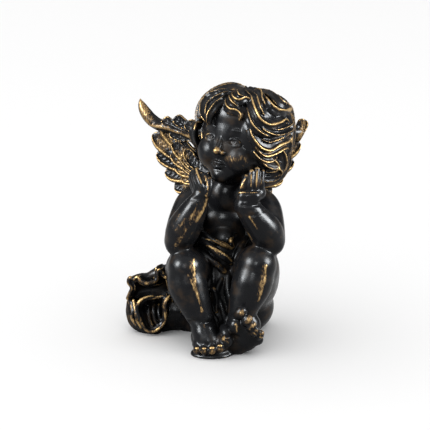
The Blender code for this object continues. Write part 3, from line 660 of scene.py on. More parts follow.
def wingPlace(side, droop):
    sweep = math.radians(wings["sweep"])
    out = Vector((side * math.cos(sweep), math.sin(sweep), 0))
    front = Vector((side * math.sin(sweep), -math.cos(sweep), 0))
    turn = Matrix((out, front, Vector((0, 0, 1)))).transposed().to_4x4()
    place = Matrix.Translation(Vector(wings["root"]) + Vector((side * wings["apart"], 0, 0)))
    return place @ turn @ Matrix.Rotation(math.radians(droop), 4, "Y")


def featherForm(root, angle, length, width, height, face, place, sag=7.0, roll=16):
    # a rounded leaf that curls up to its tip, on one face (1 or -1) of the wing: its lower edge rolled,
    # its shaft raised, its barbs slanting ripples
    a = math.radians(angle)
    ahead, above = np.array((math.cos(a), 0, math.sin(a))), np.array((-math.sin(a), 0, math.cos(a)))
    t = np.linspace(0, 1, 48)[:, None]
    path = np.array(root) + ahead * length * t - above * sag * 2 * t * (1 - t)
    path = path + np.array((0, 1, 0)) * face * height * (1 - 0.2 * t)
    ups = np.array((0, face, 0)) + above * math.tan(math.radians(roll))
    frame3 = np.array(place.to_3x3())
    upper = face * np.sign(np.linalg.det(frame3))  # which way across the blade its upper edge lies
    t = t[:, 0]
    widths = width * (0.30 + 0.70 * np.sin(np.pi * np.minimum(0.5, 0.10 + 0.5 * t)))
    widths = widths * np.sqrt(np.clip(1 - np.maximum(0, (t - 0.78) / 0.225) ** 2, 0.004, 1))

    def crest(across, share):
        x = across * upper
        dome = np.sqrt(np.clip(1 - x ** 2, 0, 1))
        rolled = 0.95 * np.exp(-((x + wings["rollAt"]) / 0.17) ** 2)
        rolled = rolled + 0.40 * np.exp(-((x - 0.84) / 0.10) ** 2)
        shaft = 0.35 * np.exp(-(x / 0.10) ** 2) * (1 - 0.6 * share)
        slant = share * length / 3.6 - np.abs(x) * 1.5
        barbs = 0.24 * np.cos(2 * np.pi * slant) * np.minimum(1, np.abs(x) * 4) * (np.abs(x) < 0.68)
        return dome * (0.40 + 0.2 * x ** 2) + barbs + shaft + rolled * np.minimum(1, dome * 1.8)

    path = moved(path, place)
    up = unitRows((ups @ frame3.T)[None])
    if face > 0 and width > wings["edgedFrom"]:
        out = -wings["rollAt"] * upper * widths
        edge = path + np.cross(unitRows(np.gradient(path, axis=0)), up) * out[:, None]
        featherEdges.append(edge + up * wings["featherHeight"])
    return blade(path, np.repeat(up, len(t), axis=0), widths, np.full(len(t), wings["featherHeight"]),
                 wings["featherDepth"], crest, 60)


def wingBand(side):
    # the left wing's leaf stands where the right wing's band runs on to its horn
    return wings["band"] if side < 0 else wings["band"][2:]


def wingForms(side, droop, end):
    place = wingPlace(side, droop)
    forms = [tube(wings["arm"] + end, place), tube(wingBand(side), place)]
    angles, lengths = np.array(wings["long"]).T
    for shift, share, width, height in wings["rows"]:
        places = np.arange(len(angles) - (shift > 0)) + shift
        for angle, length in zip(np.interp(places, np.arange(len(angles)), angles),
                                 np.interp(places, np.arange(len(angles)), lengths)):
            for face in (-1, 1):
                forms.append(featherForm(wings["fanMiddle"], angle, length * share, width, height, face,
                                         place))
    for root, angle, length, width in wings["small"] + wings["cap"]:
        forms.append(featherForm(root, angle, length, width, 0, 1, place, sag=2, roll=4))
    if side > 0:
        root, angle, length, width = wings["leaf"]
        for face in (-1, 1):
            forms.append(featherForm(root, angle, length, width, 0.6, face, place, sag=-0.8, roll=5))
    return forms


# Drapery

cloth = {
    # two open ends of gathered cloth at the right side, the upper one behind the lower
    "upperMouth": ((-36, 0, 46), (-41, 1, 49.5), (-43.7, 1, 51.8), (-45, 1, 44.4), (-47.7, 0, 42),
                   (-52.7, -1, 41.6),
                   (-57, 0, 43), (-60.2, 1, 46.2), (-62.9, 2, 44.2), (-66, 3, 45), (-67.4, 3, 42),
                   (-64.9, 2, 37.5),
                   (-66.5, 3, 32.4), (-68.8, 5, 27), (-68, 8, 14), (-60, 8, 6), (-44, 6, 5), (-32, 4, 16)),
    # the way back from the mouth, the cloth's thickness, and the number of wrinkles
    "upperBack": ((14, 34, -3), 4, 8),
    "lowerMouth": ((-35, -3, 32), (-38.4, -5, 27), (-38.2, -5, 20), (-38.6, -5, 13.4), (-40.8, -5, 9),
                   (-44, -6, 6),
                   (-48.2, -6, 4), (-52.4, -6, 4.8), (-55.4, -6, 9), (-58.6, -6, 17), (-60.4, -5.5, 23),
                   (-58.4, -5, 28),
                   (-53.6, -4.5, 31), (-48.6, -4, 32), (-41, -3, 32.6)),
    "lowerBack": ((5, 20, -4), 3.4, 6), "wrinkle": 0.09,
    # steps from the far end over the lip and back inside: share of the way back, the rim and the thickness
    "lip": ((1, 0.3, 0), (0.85, 0.66, 0), (0.66, 0.84, 0), (0.5, 0.92, 0), (0.3, 0.97, 0), (0.12, 1, 0),
            (0, 1, 0.25),
            (0, 1, 0.75), (0.12, 1, 1), (0.3, 0.96, 1), (0.45, 0.88, 1), (0.58, 0.7, 1), (0.64, 0.4, 1),
            (0.66, 0.15, 1)),
    "hems": (
        ((-40, 0.5, 49, 1.0), (-43.7, 0.5, 51.6, 1.3), (-45, 0.5, 44.6, 1.5), (-47.7, -0.5, 42, 1.6),
         (-52.7, -1.5, 41.4, 1.6),
         (-57, -0.5, 42.8, 1.5), (-60.2, 0.5, 45.6, 1.4), (-62.9, 1.5, 44, 1.4), (-66, 2.5, 44.4, 1.8),
         (-67, 2.5, 41, 1.8),
         (-64.8, 1.5, 37, 1.5), (-66.3, 2.5, 32, 1.7), (-68.2, 4, 27.5, 1.6)),
        ((-35, -4, 32.4, 0.6), (-37.4, -5.5, 29, 1.9), (-38.6, -6, 25, 2.1), (-38.3, -6, 20, 1.4),
         (-38.6, -6, 13.4, 1.2),
         (-40.8, -6, 9, 1.2), (-44, -6.5, 6, 1.2), (-48.2, -7, 4, 1.3), (-52.4, -7, 4.8, 1.5),
         (-55.6, -7, 9, 1.6),
         (-58.8, -7, 17, 1.7), (-60.2, -6.5, 23, 1.6), (-58.4, -6, 28, 1.4), (-53.6, -5, 31, 1.1),
         (-48, -4, 32, 0.7)),
    ),
    "pleats": (
        ((-51.8, 4, 23.5, 1.0), (-51.8, 0, 19, 1.5), (-50.8, -2.4, 12, 1.2), (-49, -3.6, 7.6, 0.9)),
        ((-48.0, 4, 24.5, 1.0), (-47.9, -0.4, 19, 1.5), (-46.8, -2.6, 12, 1.3), (-44.4, -3.6, 7.6, 0.9)),
        ((-44.0, 4, 22.5, 0.9), (-43.9, 0, 17, 1.3), (-43.0, -2.2, 12, 1.0)),
    ),
    "sideFolds": (
        ((-67.6, 9, 23, 2.0), (-67.4, 8, 14, 2.8), (-64, 6, 6, 3.2), (-55, 3, 2, 3.6), (-47, 2, 1, 4.5)),
        ((-65.4, 5, 24, 1.5), (-64.2, 1, 17.5, 1.7), (-64.4, 0, 12.4, 1.7), (-61.2, -1, 7.6, 1.6),
         (-58, -2, 5, 1)),
        ((-63.6, 3, 26, 1.2), (-61.6, -2, 18, 1.4), (-60.6, -3.4, 12, 1.4), (-57.8, -4, 6.6, 1.1)),
        ((-46, 8, 1, 6), (-34, 13, 1, 6), (-22, 19, 1, 6)),
        ((-60, 8, 42.6, 2.6), (-52, 11, 43, 3.6), (-44, 12, 46, 5), (-36, 13, 47, 6)),
        ((-60, 10, 30, 5), (-48, 16, 30, 9), (-36, 20, 26, 12)),
    ),
    "lapFolds": (
        ((-19, -10, 86, 1.6), (-9, -18, 86, 2.2), (-2, -21.5, 82, 2.2), (6, -22.6, 78.6, 2.0),
         (12.5, -20, 75, 1.4)),
        ((-18, -12, 81, 2.6), (-9, -20, 80.4, 3.2), (-2, -24, 75.6, 3.4), (5, -25, 70.4, 3.2),
         (12, -22.4, 64.6, 2.4)),
        ((-17, -13, 73, 2.6), (-9, -20, 71, 2.8), (-1, -24, 65, 2.6), (6, -24, 58.6, 2.2),
         (11, -21.4, 54, 1.6)),
        ((24, -9, 80, 2.4), (19, -16, 73, 2.8), (15, -20, 64, 2.6), (12.4, -21.6, 54, 2.0)),
        ((16, -13, 84, 1.2), (12, -18, 80.6, 1.9), (13.4, -18.5, 75.5, 1.4)),
    ),
    "skirtFolds": (
        ((-7, -22, 56, 2.6), (-7.4, -26, 44, 2.8), (-4.6, -31, 30, 2.8), (-1, -36, 14, 3.2), (2, -38, 2, 4)),
        ((-3.6, -24, 54, 1.6), (-4.4, -29, 46.5, 2.2), (-0.6, -32.6, 45.4, 1.8), (1.4, -34, 38, 1.6),
         (1.0, -36.4, 30, 1.2)),
        ((5, -24, 52, 2.2), (1.6, -29, 44, 2.0), (4.6, -34, 34, 2.0), (8.2, -37.4, 22, 2.2), (9, -38, 10, 3)),
        ((9.6, -22, 56, 2.4), (9.6, -27, 44, 2.8), (12, -31, 32, 2.8), (13, -34, 14, 3)),
        ((-2, -33, 28, 1.2), (1.4, -36.6, 22, 1.6), (2.4, -38.6, 13, 1.8), (5, -40, 4, 2)),
    ),
    # cloth gathered round the hips behind
    "backFolds": (
        ((38, 20, 48, 1.2), (34, 30, 42, 2.0), (22, 37, 38, 2.8), (6, 39, 35, 3.0), (-12, 36, 34, 2.8),
         (-28, 26, 38, 1.4)),
        ((42, 20, 40, 1.0), (38, 31, 33, 2.2), (24, 40.4, 28, 3.0), (6, 42.4, 26, 3.2), (-14, 40, 25, 3.0),
         (-32, 30, 26, 1.6)),
        ((42, 22, 24, 1.0), (36, 36, 20, 2.6), (22, 42.4, 15, 3.2), (4, 43.4, 15, 3.2), (-16, 41.6, 16, 3.0),
         (-34, 34, 17, 1.6)),
        ((40, 26, 10, 1.0), (32, 38.5, 6, 3.0), (16, 43, 4, 3.4), (-2, 43, 5, 3.4), (-20, 41.4, 5, 3.2),
         (-38, 34, 6, 2.0)),
        ((24, 30, 50, 1.0), (18, 35.5, 45, 1.6), (6, 38, 42, 1.8), (-6, 36, 42, 1.6), (-14, 30, 45, 1.0)),
    ),
    "fillings": (((-30, 24, 14), (26, 24, 20)), ((3.5, -8, 36), (16, 20, 34)), ((4, -17, 20), (13, 18, 24)),
                 ((3, -8, 66), (20, 12.5, 17)), ((27, -2, 76), (9, 9, 16)), ((-13, -3, 78), (9, 9, 14))),
    # the seat: height and share of its reach, its middle, its reach, and the number and depth of its folds
    "seat": ((-3, 0.92), (2, 0.94), (8, 1.0), (15, 0.975), (21, 0.86), (24, 0.74), (25, 0.6)),
    "seatMiddle": (3, 21), "seatReach": (39, 24.5), "seatFolds": (13, 0.02),
}


def mouthForm(rim, back, thick, wrinkles):
    # cloth flaring to a wavy rim: out along its outer side, over the lip, and back down inside
    around = curveThrough([*rim, rim[0]], 7)[:-1]
    count = len(around)
    middle = around.mean(axis=0)
    back = np.array(back, float)
    inward = unitRows(np.cross(back, np.roll(around, -1, axis=0) - np.roll(around, 1, axis=0)))
    inward = inward * np.sign(np.sum(inward * (middle - around), axis=1, keepdims=True))
    turn = 2 * np.pi * np.arange(count) / count
    rings = []
    for depth, grow, inset in cloth["lip"]:
        wave = 1 + cloth["wrinkle"] * np.cos(wrinkles * turn + 1.5 * depth)[:, None] * min(1, depth * 2.5)
        lining = inward * thick * inset * min(1, grow * 1.4)
        rings.append(middle + (around - middle) * grow * wave + lining + back * depth)
    return closedRings(rings)


def clothForms():
    # the mouths, fillings and folds, and a seat whose rings are middle + reach * fold * (cos a, sin a)
    forms = [mouthForm(cloth[end + "Mouth"], *cloth[end + "Back"]) for end in ("upper", "lower")]
    forms += [blob(m, r) for m, r in cloth["fillings"]]
    for name in ("hems", "pleats", "sideFolds", "lapFolds", "skirtFolds", "backFolds"):
        forms += [tube(stations, steps=10, sides=16) for stations in cloth[name]]
    a = 2 * np.pi * np.arange(160) / 160
    middle, (wide, deep), (count, rise) = cloth["seatMiddle"], cloth["seatReach"], cloth["seatFolds"]
    rings = []
    for height, reach in cloth["seat"]:
        fold = 1 + rise * np.cos(count * a + 0.06 * height)
        x = middle[0] + wide * reach * fold * np.cos(a)
        y = middle[1] + deep * reach * fold * np.sin(a)
        rings.append(np.stack([x, y, height + 0 * a], axis=1))
    return forms + [closedRings(rings)]


# Casting: flesh fused first and smoothed well, then everything carved laid over it and fused again

casting = {"fleshGrain": 0.95, "fleshPasses": 16, "grain": 0.52, "passes": 2, "triangles": 214000,
           "ground": (0.4, 0.1)}

footFlesh, toeForms = footForms()
handFlesh, fingerForms = handForms()
fleshForms = bodyForms() + footFlesh + handFlesh + [blob(m, r, headPlace) for m,
                                                    r in headFlesh] + hairShellForms()
flesh = fused("flesh", [meshFromForms("flesh", fleshForms)], casting["fleshGrain"], casting["fleshPasses"])
print("flesh fused", len(flesh.vertices))

carvedForms = toeForms + fingerForms + faceForms() + hairForms() + clothForms()
carvedForms += wingForms(-1, 0, wings["horn"]) + wingForms(1, wings["leftDroop"], wings["roundEnd"])
skin = fused("skin", [flesh, meshFromForms("carved", carvedForms)], casting["grain"], casting["passes"])
points, quads = outerShell(*meshArrays(skin))
print("skin fused", len(points))


# Sculpting: creases pressed in along lines, with a slight swell on each side

creases = (
    # line, half width, depth
    (((-17, -41, 117.5), (-11, -43, 118.5), (-4.5, -41, 117.5)), 1.2, 0.7),
    (((15, -41, 113.4), (20, -42.5, 113.4), (27, -42, 113), (33, -37, 113)), 1.0, 0.9),
    (((15, -42, 106.4), (22, -44, 106), (30, -41, 106), (36, -36, 108)), 1.1, 0.6),
    (((27.6, -40, 107), (33, -40, 101), (39, -36, 95), (45, -29, 91), (47, -24, 84)), 0.8, 0.8),
    (((-31, -16, 95), (-24, -22, 97), (-16, -24, 99)), 1.3, 1.4),
    (((29, -20, 100), (37, -20, 97), (44, -16, 93)), 1.3, 1.4),
    (((7, 19, 102), (7, 20.6, 90), (7, 24, 72), (7, 30, 56), (7, 35, 48)), 3.0, 1.7),
    (((-19, -46, 25.5), (-14, -50, 26.5), (-8, -51, 26), (-2, -46, 25), (2, -40, 26)), 1.5, 1.1),
    (((10, -44, 24), (16, -49, 25), (26, -46, 28)), 1.2, 0.8),
    (((13, -60, 28.5), (20, -60, 24.5), (26, -60, 20), (31, -58, 15.5), (36, -55, 12.5)), 1.1, 1.1),
)


def pressed(points, normals):
    # along the normal: -depth * exp(-(d/w)^2) + 0.3 * depth * exp(-((d-2.2w)/w)^2)
    move = np.zeros(len(points))
    for line, width, depth in creases:
        index, d = distanceToLine(points, curveThrough(line, 6), width * 5)
        swell = 0.3 * depth * np.exp(-((d - 2.2 * width) / width) ** 2)
        move[index] += swell - depth * np.exp(-(d / width) ** 2)
    return points + normals * move[:, None]


def step(value, low, high):
    # smoothstep: 3t^2 - 2t^3
    t = np.clip((value - low) / (high - low), 0, 1)
    return t * t * (3 - 2 * t)


def facePressed(points):
    # in the head's frame: each eye opening is sunk to the eyeball, then irises, nostrils and the mouth line
    p = moved(points, headPlace.inverted())
    near = np.nonzero((p[:, 1] < -12) & (np.abs(p[:, 0]) < 22) & (np.abs(p[:, 2] + 8) < 26))[0]
    q = p[near]
    half, rise, drop = face["almond"]
    for side in (-1, 1):
        mirror = np.array((side, 1, 1))
        fromEye = q - face["eye"] * mirror
        far = np.linalg.norm(fromEye, axis=1)
        x, z = fromEye[:, 0] * side, fromEye[:, 2]
        bow = np.clip(1 - (x / half) ** 2, 0, 1)
        inside = np.minimum(rise * bow ** 0.8 - z, z + drop * bow)
        openEye = step(inside, -0.1, 0.45) * (np.abs(x) < half) * (fromEye[:, 1] < 0)
        pulled = face["eyeball"] + (far - face["eyeball"]) * (1 - openEye)
        off = np.linalg.norm(fromEye / np.maximum(far, 1e-6)[:, None] - face["gaze"],
                             axis=1) * face["eyeball"]
        iris = 0.28 * np.exp(-((off - face["iris"]) / 0.38) ** 2) + 0.9 * np.exp(-(off / face["pupil"]) ** 2)
        pulled = pulled - iris * openEye
        onBall = face["eye"] * mirror + fromEye * (pulled / np.maximum(far, 1e-6))[:, None]
        q = np.where((far < face["lidReach"])[:, None], onBall, q)
        lidLine = np.abs(z - (rise + 1.9) * bow ** 0.6) + 4 * np.maximum(0, np.abs(x) - 6.2)
        q[:, 1] += 0.55 * np.exp(-(lidLine / 0.55) ** 2) * (far < face["lidReach"])
        nostril = np.linalg.norm((q - face["nostril"] * mirror) / np.array((1.1, 1.6, 0.9)), axis=1)
        q[:, 2] += 1.3 * np.exp(-nostril ** 2)
    mouth = q[:, 2] - face["mouthLine"] - 0.4 * np.cos(q[:, 0] * 1.1) * (np.abs(q[:, 0]) < 2.9)
    q[:, 1] += 1.3 * np.exp(-(mouth / 0.45) ** 2) * step(-np.abs(q[:, 0]), -6.6, -5.2) * (q[:, 1] < -17)
    groove = np.linalg.norm((q - face["groove"]) / np.array((0.8, 2.5, 1.4)), axis=1)
    q[:, 1] += 0.6 * np.exp(-groove ** 2)
    chinLine = np.linalg.norm((q - face["underLip"]) / np.array((4.2, 4, 0.9)), axis=1)
    q[:, 1] += 0.7 * np.exp(-chinLine ** 2)
    p[near] = q
    return moved(p, headPlace)


points = pressed(points, normalsOf(points, quads))
points = facePressed(points)
print("creases and face pressed")


# Worn edges: how far the skin stands out from its smoothed self, over a small and a larger reach

ends = edgesOf(quads)
normals = normalsOf(points, quads)
near = smoothedRows(points, ends, 10, len(points))
far = smoothedRows(near, ends, 50, len(points))
edgeWear = np.sum((points - near) * normals, axis=1)
formWear = np.sum((points - far) * normals, axis=1)
for name, values in (("edges", edgeWear), ("forms", formWear)):
    print("wear measured on", name, np.percentile(values, (2, 50, 90, 98)).round(3))

# zones that were brushed more (over 1) or less: middle, radii and gain
gilding = (
    ((18, -2, 168), (36, 38, 34), 0.8), ((7, -28, 149), (17, 14, 24), 0.25),
    ((24, -40, 112), (14, 8, 9), 0.4),
    ((-10, -40, 116), (10, 9, 6), 0.4), ((-8, -46, 25), (14, 12, 7), 0.3),
    ((-34, 34, 140), (34, 20, 44), 1.1), ((50, 34, 140), (34, 20, 44), 1.1),
    ((-52, 4, 24), (22, 16, 34), 1.2), ((-47, 2, 15), (8, 10, 11), 0.2), ((3, -20, 70), (16, 12, 18), 1.3),
    ((-2, -56, 8), (18, 10, 9), 1.0), ((28, -56, 26), (14, 8, 14), 1.0), ((7, 5, 100), (22, 24, 18), 0.3),
    ((6, 40, 42), (34, 14, 12), 0.2), ((-20, -30, 45), (14, 16, 14), 0.5), ((30, -30, 45), (14, 16, 14), 0.5),
    ((3, -36, 24), (9, 9, 22), 0.6),
)
gain = np.ones(len(points))
for middle, radii, strength in gilding:
    gain = gain + (strength - 1) * np.exp(-np.sum(((points - middle) / radii) ** 2, axis=1) ** 2)
edgeWear = edgeWear * gain
formWear = formWear * gain

# strokes of the gilder's dry brush, in the photograph's frame: line, half width in px, strength, reach in y
strokes = (
    (((194, 259), (194.6, 271.6), (195.9, 286.9), (199.7, 302.2), (202.3, 309.8)), 1.5, 0.70, -30),
    (((187.6, 273.5), (191.4, 282.4), (197.2, 295.8)), 0.9, 0.62, -30),
    (((191, 262), (193, 276), (197, 296)), 4.0, 0.44, -30),
    (((196, 311), (196.4, 312)), 1.6, 0.6, -30), (((201.7, 309.8), (202, 311)), 2.0, 0.72, -30),
    (((203.6, 325), (205.5, 328)), 1.8, 0.5, -30), (((210, 319), (213, 324), (216, 330)), 1.2, 0.35, -30),
    (((266, 265), (265.4, 278), (262, 290), (258, 303)), 1.5, 0.68, -30),
    (((263, 266), (262, 280), (258, 296)), 3.4, 0.44, -30),
    (((249, 216.4), (252.5, 221.5), (256, 228)), 1.1, 0.75, -25),
    (((246, 214), (254, 222), (262, 233)), 3.6, 0.26, -25),
    (((256, 212), (268, 223), (280, 235), (282, 245)), 0.8, 0.45, -15),
    (((247, 231), (252, 240), (250, 247)), 1.0, 0.45, -25),
    (((207, 198), (205, 205), (201.5, 213), (196.6, 222)), 1.7, 0.66, -25),
    (((197, 205), (193, 214), (190, 221)), 1.0, 0.55, -25),
    (((203, 200), (196, 214), (184, 230)), 4.6, 0.36, -20),
    (((201, 212), (192, 224), (186, 230)), 0.9, 0.55, -25), (((193, 213), (186, 221), (180, 227)), 0.9, 0.55,
                                                             -20),
    (((187, 216), (180, 224), (175, 231)), 1.0, 0.6, -15), (((183, 210), (177, 219), (172, 229)), 0.9, 0.5,
                                                            -10),
    (((190, 226), (183, 236), (178, 246)), 1.1, 0.5, -15), (((180, 236), (176, 243), (174, 250)), 1.9, 0.5,
                                                            -15),
    (((196, 228), (188, 240), (186, 250)), 1.0, 0.4, -20),
    (((196, 169), (198.5, 176), (202, 184)), 1.0, 0.8, -22), (((205, 176), (207.5, 184), (208, 192)), 1.2,
                                                              0.62, -30),
    (((199.5, 191), (201, 193)), 1.4, 0.45, -28), (((206, 195), (207, 198)), 1.6, 0.7, -28),
    (((238.5, 192.6), (248, 192.4), (258, 192.8)), 0.7, 0.7, -30),
    (((240.5, 188), (243, 183), (246, 178)), 1.0, 0.75, -28), (((251, 188), (251.3, 174)), 0.8, 0.6, -26),
    (((256.4, 187), (257.2, 171)), 0.9, 0.7, -24), (((261, 186), (262, 176)), 0.7, 0.45, -22),
    (((206, 239), (214, 241), (225, 247.5)), 1.1, 0.68, -10), (((207, 245.4), (217.5, 250), (227, 256),
                                                                (231.6, 261)), 1.4, 0.72, -10),
    (((216, 239.5), (225, 245), (231, 247)), 1.0, 0.7, -10), (((212, 248), (220, 255)), 1.2, 0.6, -10),
    # the two broad strokes on the cheek are partly a gold wash and partly a painted highlight, standing for
    # light falling on the cheek
    (((226, 158), (238, 160)), 6.0, 0.37, -15), (((240, 156), (246, 162), (240, 168)), 4.8, 0.33, -10),
    (((249, 341), (250, 346)), 1.0, 0.5, -30), (((256.6, 341), (258, 345)), 0.9, 0.45, -30),
    (((235.5, 324), (237, 332)), 1.4, 0.6, -35), (((168, 277.4), (174, 277)), 1.6, 0.35, 30),
)
# places rubbed in the round: middle, reach in mm, strength
spots = [((x, y - r * 0.9, z + r * 0.1), r * 0.8, 0.5) for x, y, z, r in feet["rightToes"] + feet["leftToes"]]
spots += [((6.4, -57, 16), 2.6, 0.8), ((16.4, -54.6, 25), 2.2, 0.6)]
spots += [(moved(np.array(place), headPlace), reach, strength) for place, reach, strength in face["rubbed"]]
rub = np.zeros(len(points))
thirdColumn = ((0, 0), (0, 1))
seen = np.pad(seenAt(points), thirdColumn)
leastFacing = 0.12
for line, reach, strength, deepest in strokes:
    facing = (normals @ viewBack > leastFacing) & (points[:, 1] < deepest)
    index, d = distanceToLine(seen, np.pad(curveThrough(line, 5), thirdColumn), reach * 3)
    rub[index] = np.maximum(rub[index], strength * np.exp(-(d / reach) ** 2) * facing[index])
for middle, reach, strength in spots:
    rub = np.maximum(rub, strength * np.exp(-np.sum((points - middle) ** 2, axis=1) / reach ** 2))
lines = [(crest[len(crest) // 4::2], reach, strength) for crest, reach, strength in sideCrests]
for crest, gilt in hairCrests:
    for start, stop, reach, strength in hair["crestGold"]:
        lines.append((crest[int(start * len(crest)):int(stop * len(crest)):2], reach, strength * gilt))
for side, droop in ((-1, 0), (1, wings["leftDroop"])):
    place = wingPlace(side, droop)
    brushed = [(wingBand(side), gold) for gold in wings["bandGold"]]
    if side < 0:
        brushed += [(wings["horn"], gold) for gold in wings["hornGold"]]
    else:
        root, angle, length, _ = wings["leaf"]
        way = np.array((math.cos(math.radians(angle)), 0, math.sin(math.radians(angle))))
        brushed.append(((root + way * 3, root + way * length), wings["leafGold"]))
    for line, (shift, reach, strength) in brushed:
        lines.append((moved(np.array(line)[:, :3] + shift, place), reach, strength))
    for middle, reach, strength in wings["mottle"]:
        lines.append((moved(np.array((middle, middle)), place), reach, strength))
start, stop, reach, strength = wings["edgeGold"]
for edge in featherEdges:
    lines.append((edge[int(start * len(edge)):int(stop * len(edge)):3], reach, strength))
for line, reach, strength in lines:
    index, d = distanceToLine(points, line, reach * 2.6)
    rub[index] = np.maximum(rub[index], strength * np.exp(-(d / reach) ** 2))
print("gold brushed on")

dense = meshFromArrays("figurineCasting", points, quads)
for name, values in (("edgeWear", edgeWear), ("formWear", formWear), ("rub", rub)):
    layer = dense.attributes.new(name, "FLOAT", "POINT")
    layer.data.foreach_set("value", values.astype(np.float32))

work = holder("work", dense)
thin = work.modifiers.new("thin", "DECIMATE")
thin.ratio = casting["triangles"] / (2 * len(quads))
skin = finishedMesh(work)
skin.transform(Matrix.Scale(millimetre, 4))
print("thinned", len(skin.polygons))


def slabMesh(name, width, depth):
    # a flat box whose top is the ground
    x = np.array((-1, 1, 1, -1, -1, 1, 1, -1)) * width / 2
    y = np.array((-1, -1, 1, 1, -1, -1, 1, 1)) * width / 2
    z = np.array((-depth,) * 4 + (0,) * 4)
    quads = np.array(((3, 2, 1, 0), (4, 5, 6, 7), (0, 1, 5, 4), (1, 2, 6, 5), (2, 3, 7, 6), (3, 0, 4, 7)))
    return meshFromArrays(name, np.stack([x, y, z], axis=1), quads)


slab = holder("groundSlab", slabMesh("groundSlab", *casting["ground"]))
work = holder("work", skin)
cut = work.modifiers.new("flatUnderside", "BOOLEAN")
cut.operation = "DIFFERENCE"
cut.object = slab
castMesh = finishedMesh(work)
castMesh.name = "figurineCasting"
bpy.data.objects.remove(slab)
figurine = holder("figurineCasting", castMesh)
castMesh.shade_smooth()
print("casting", len(castMesh.polygons))


# Finish: near-black brown resin, brushed with gold bronze where it is worn

finish = {
    "base": (0.0018, 0.0018, 0.0020), "warm": (0.0065, 0.0042, 0.0027), "gloss": 0.085,
    "gold": (0.175, 0.113, 0.046), "paleGold": (0.26, 0.180, 0.086), "oldGold": (0.060, 0.035, 0.014),
    "edge": (0.125, 0.29), "form": (0.75, 1.5), "rub": (0.74, 1.24), "roughness": (0.23, 0.35),
    "goldRoughness": 0.44,
    # each noise: scale, detail, roughness and distortion
    "marks": (1250, 4, 0.7, 0.3), "patches": (110, 3, 0.55), "grain": (2200, 2, 0.6), "pits": (420, 5, 0.6),
    "markStretch": (1, 1, 0.25), "markSlant": (0, 0.25, 0), "bumpStrength": 0.22, "bumpHeight": 0.0004,
}


def node(tree, kind, **settings):
    made = tree.nodes.new(kind)
    for name, value in settings.items():
        setattr(made, name, value)
    return made


def maths(tree, operation, a, b, clamp=False):
    made = node(tree, "ShaderNodeMath", operation=operation, use_clamp=clamp)
    for socket, value in zip(made.inputs, (a, b)):
        if isinstance(value, (int, float)):
            socket.default_value = value
        else:
            tree.links.new(value, socket)
    return made.outputs[0]


def ranged(tree, value, low, high, outLow=0.0, outHigh=1.0):
    made = node(tree, "ShaderNodeMapRange", interpolation_type="SMOOTHSTEP")
    for socket, number in zip(made.inputs[1:5], (low, high, outLow, outHigh)):
        socket.default_value = number
    tree.links.new(value, made.inputs[0])
    return made.outputs[0]


def noise(tree, vector, scale, detail=4.0, rough=0.6, distortion=0.0):
    made = node(tree, "ShaderNodeTexNoise")
    made.inputs["Scale"].default_value = scale
    made.inputs["Detail"].default_value = detail
    made.inputs["Roughness"].default_value = rough
    made.inputs["Distortion"].default_value = distortion
    tree.links.new(vector, made.inputs["Vector"])
    return made.outputs["Fac"]


def mixed(tree, factor, a, b):
    made = node(tree, "ShaderNodeMix", data_type="RGBA")
    tree.links.new(factor, made.inputs[0])
    for socket, value in ((made.inputs[6], a), (made.inputs[7], b)):
        if isinstance(value, tuple):
            socket.default_value = (*value, 1)
        else:
            tree.links.new(value, socket)
    return made.outputs[2]


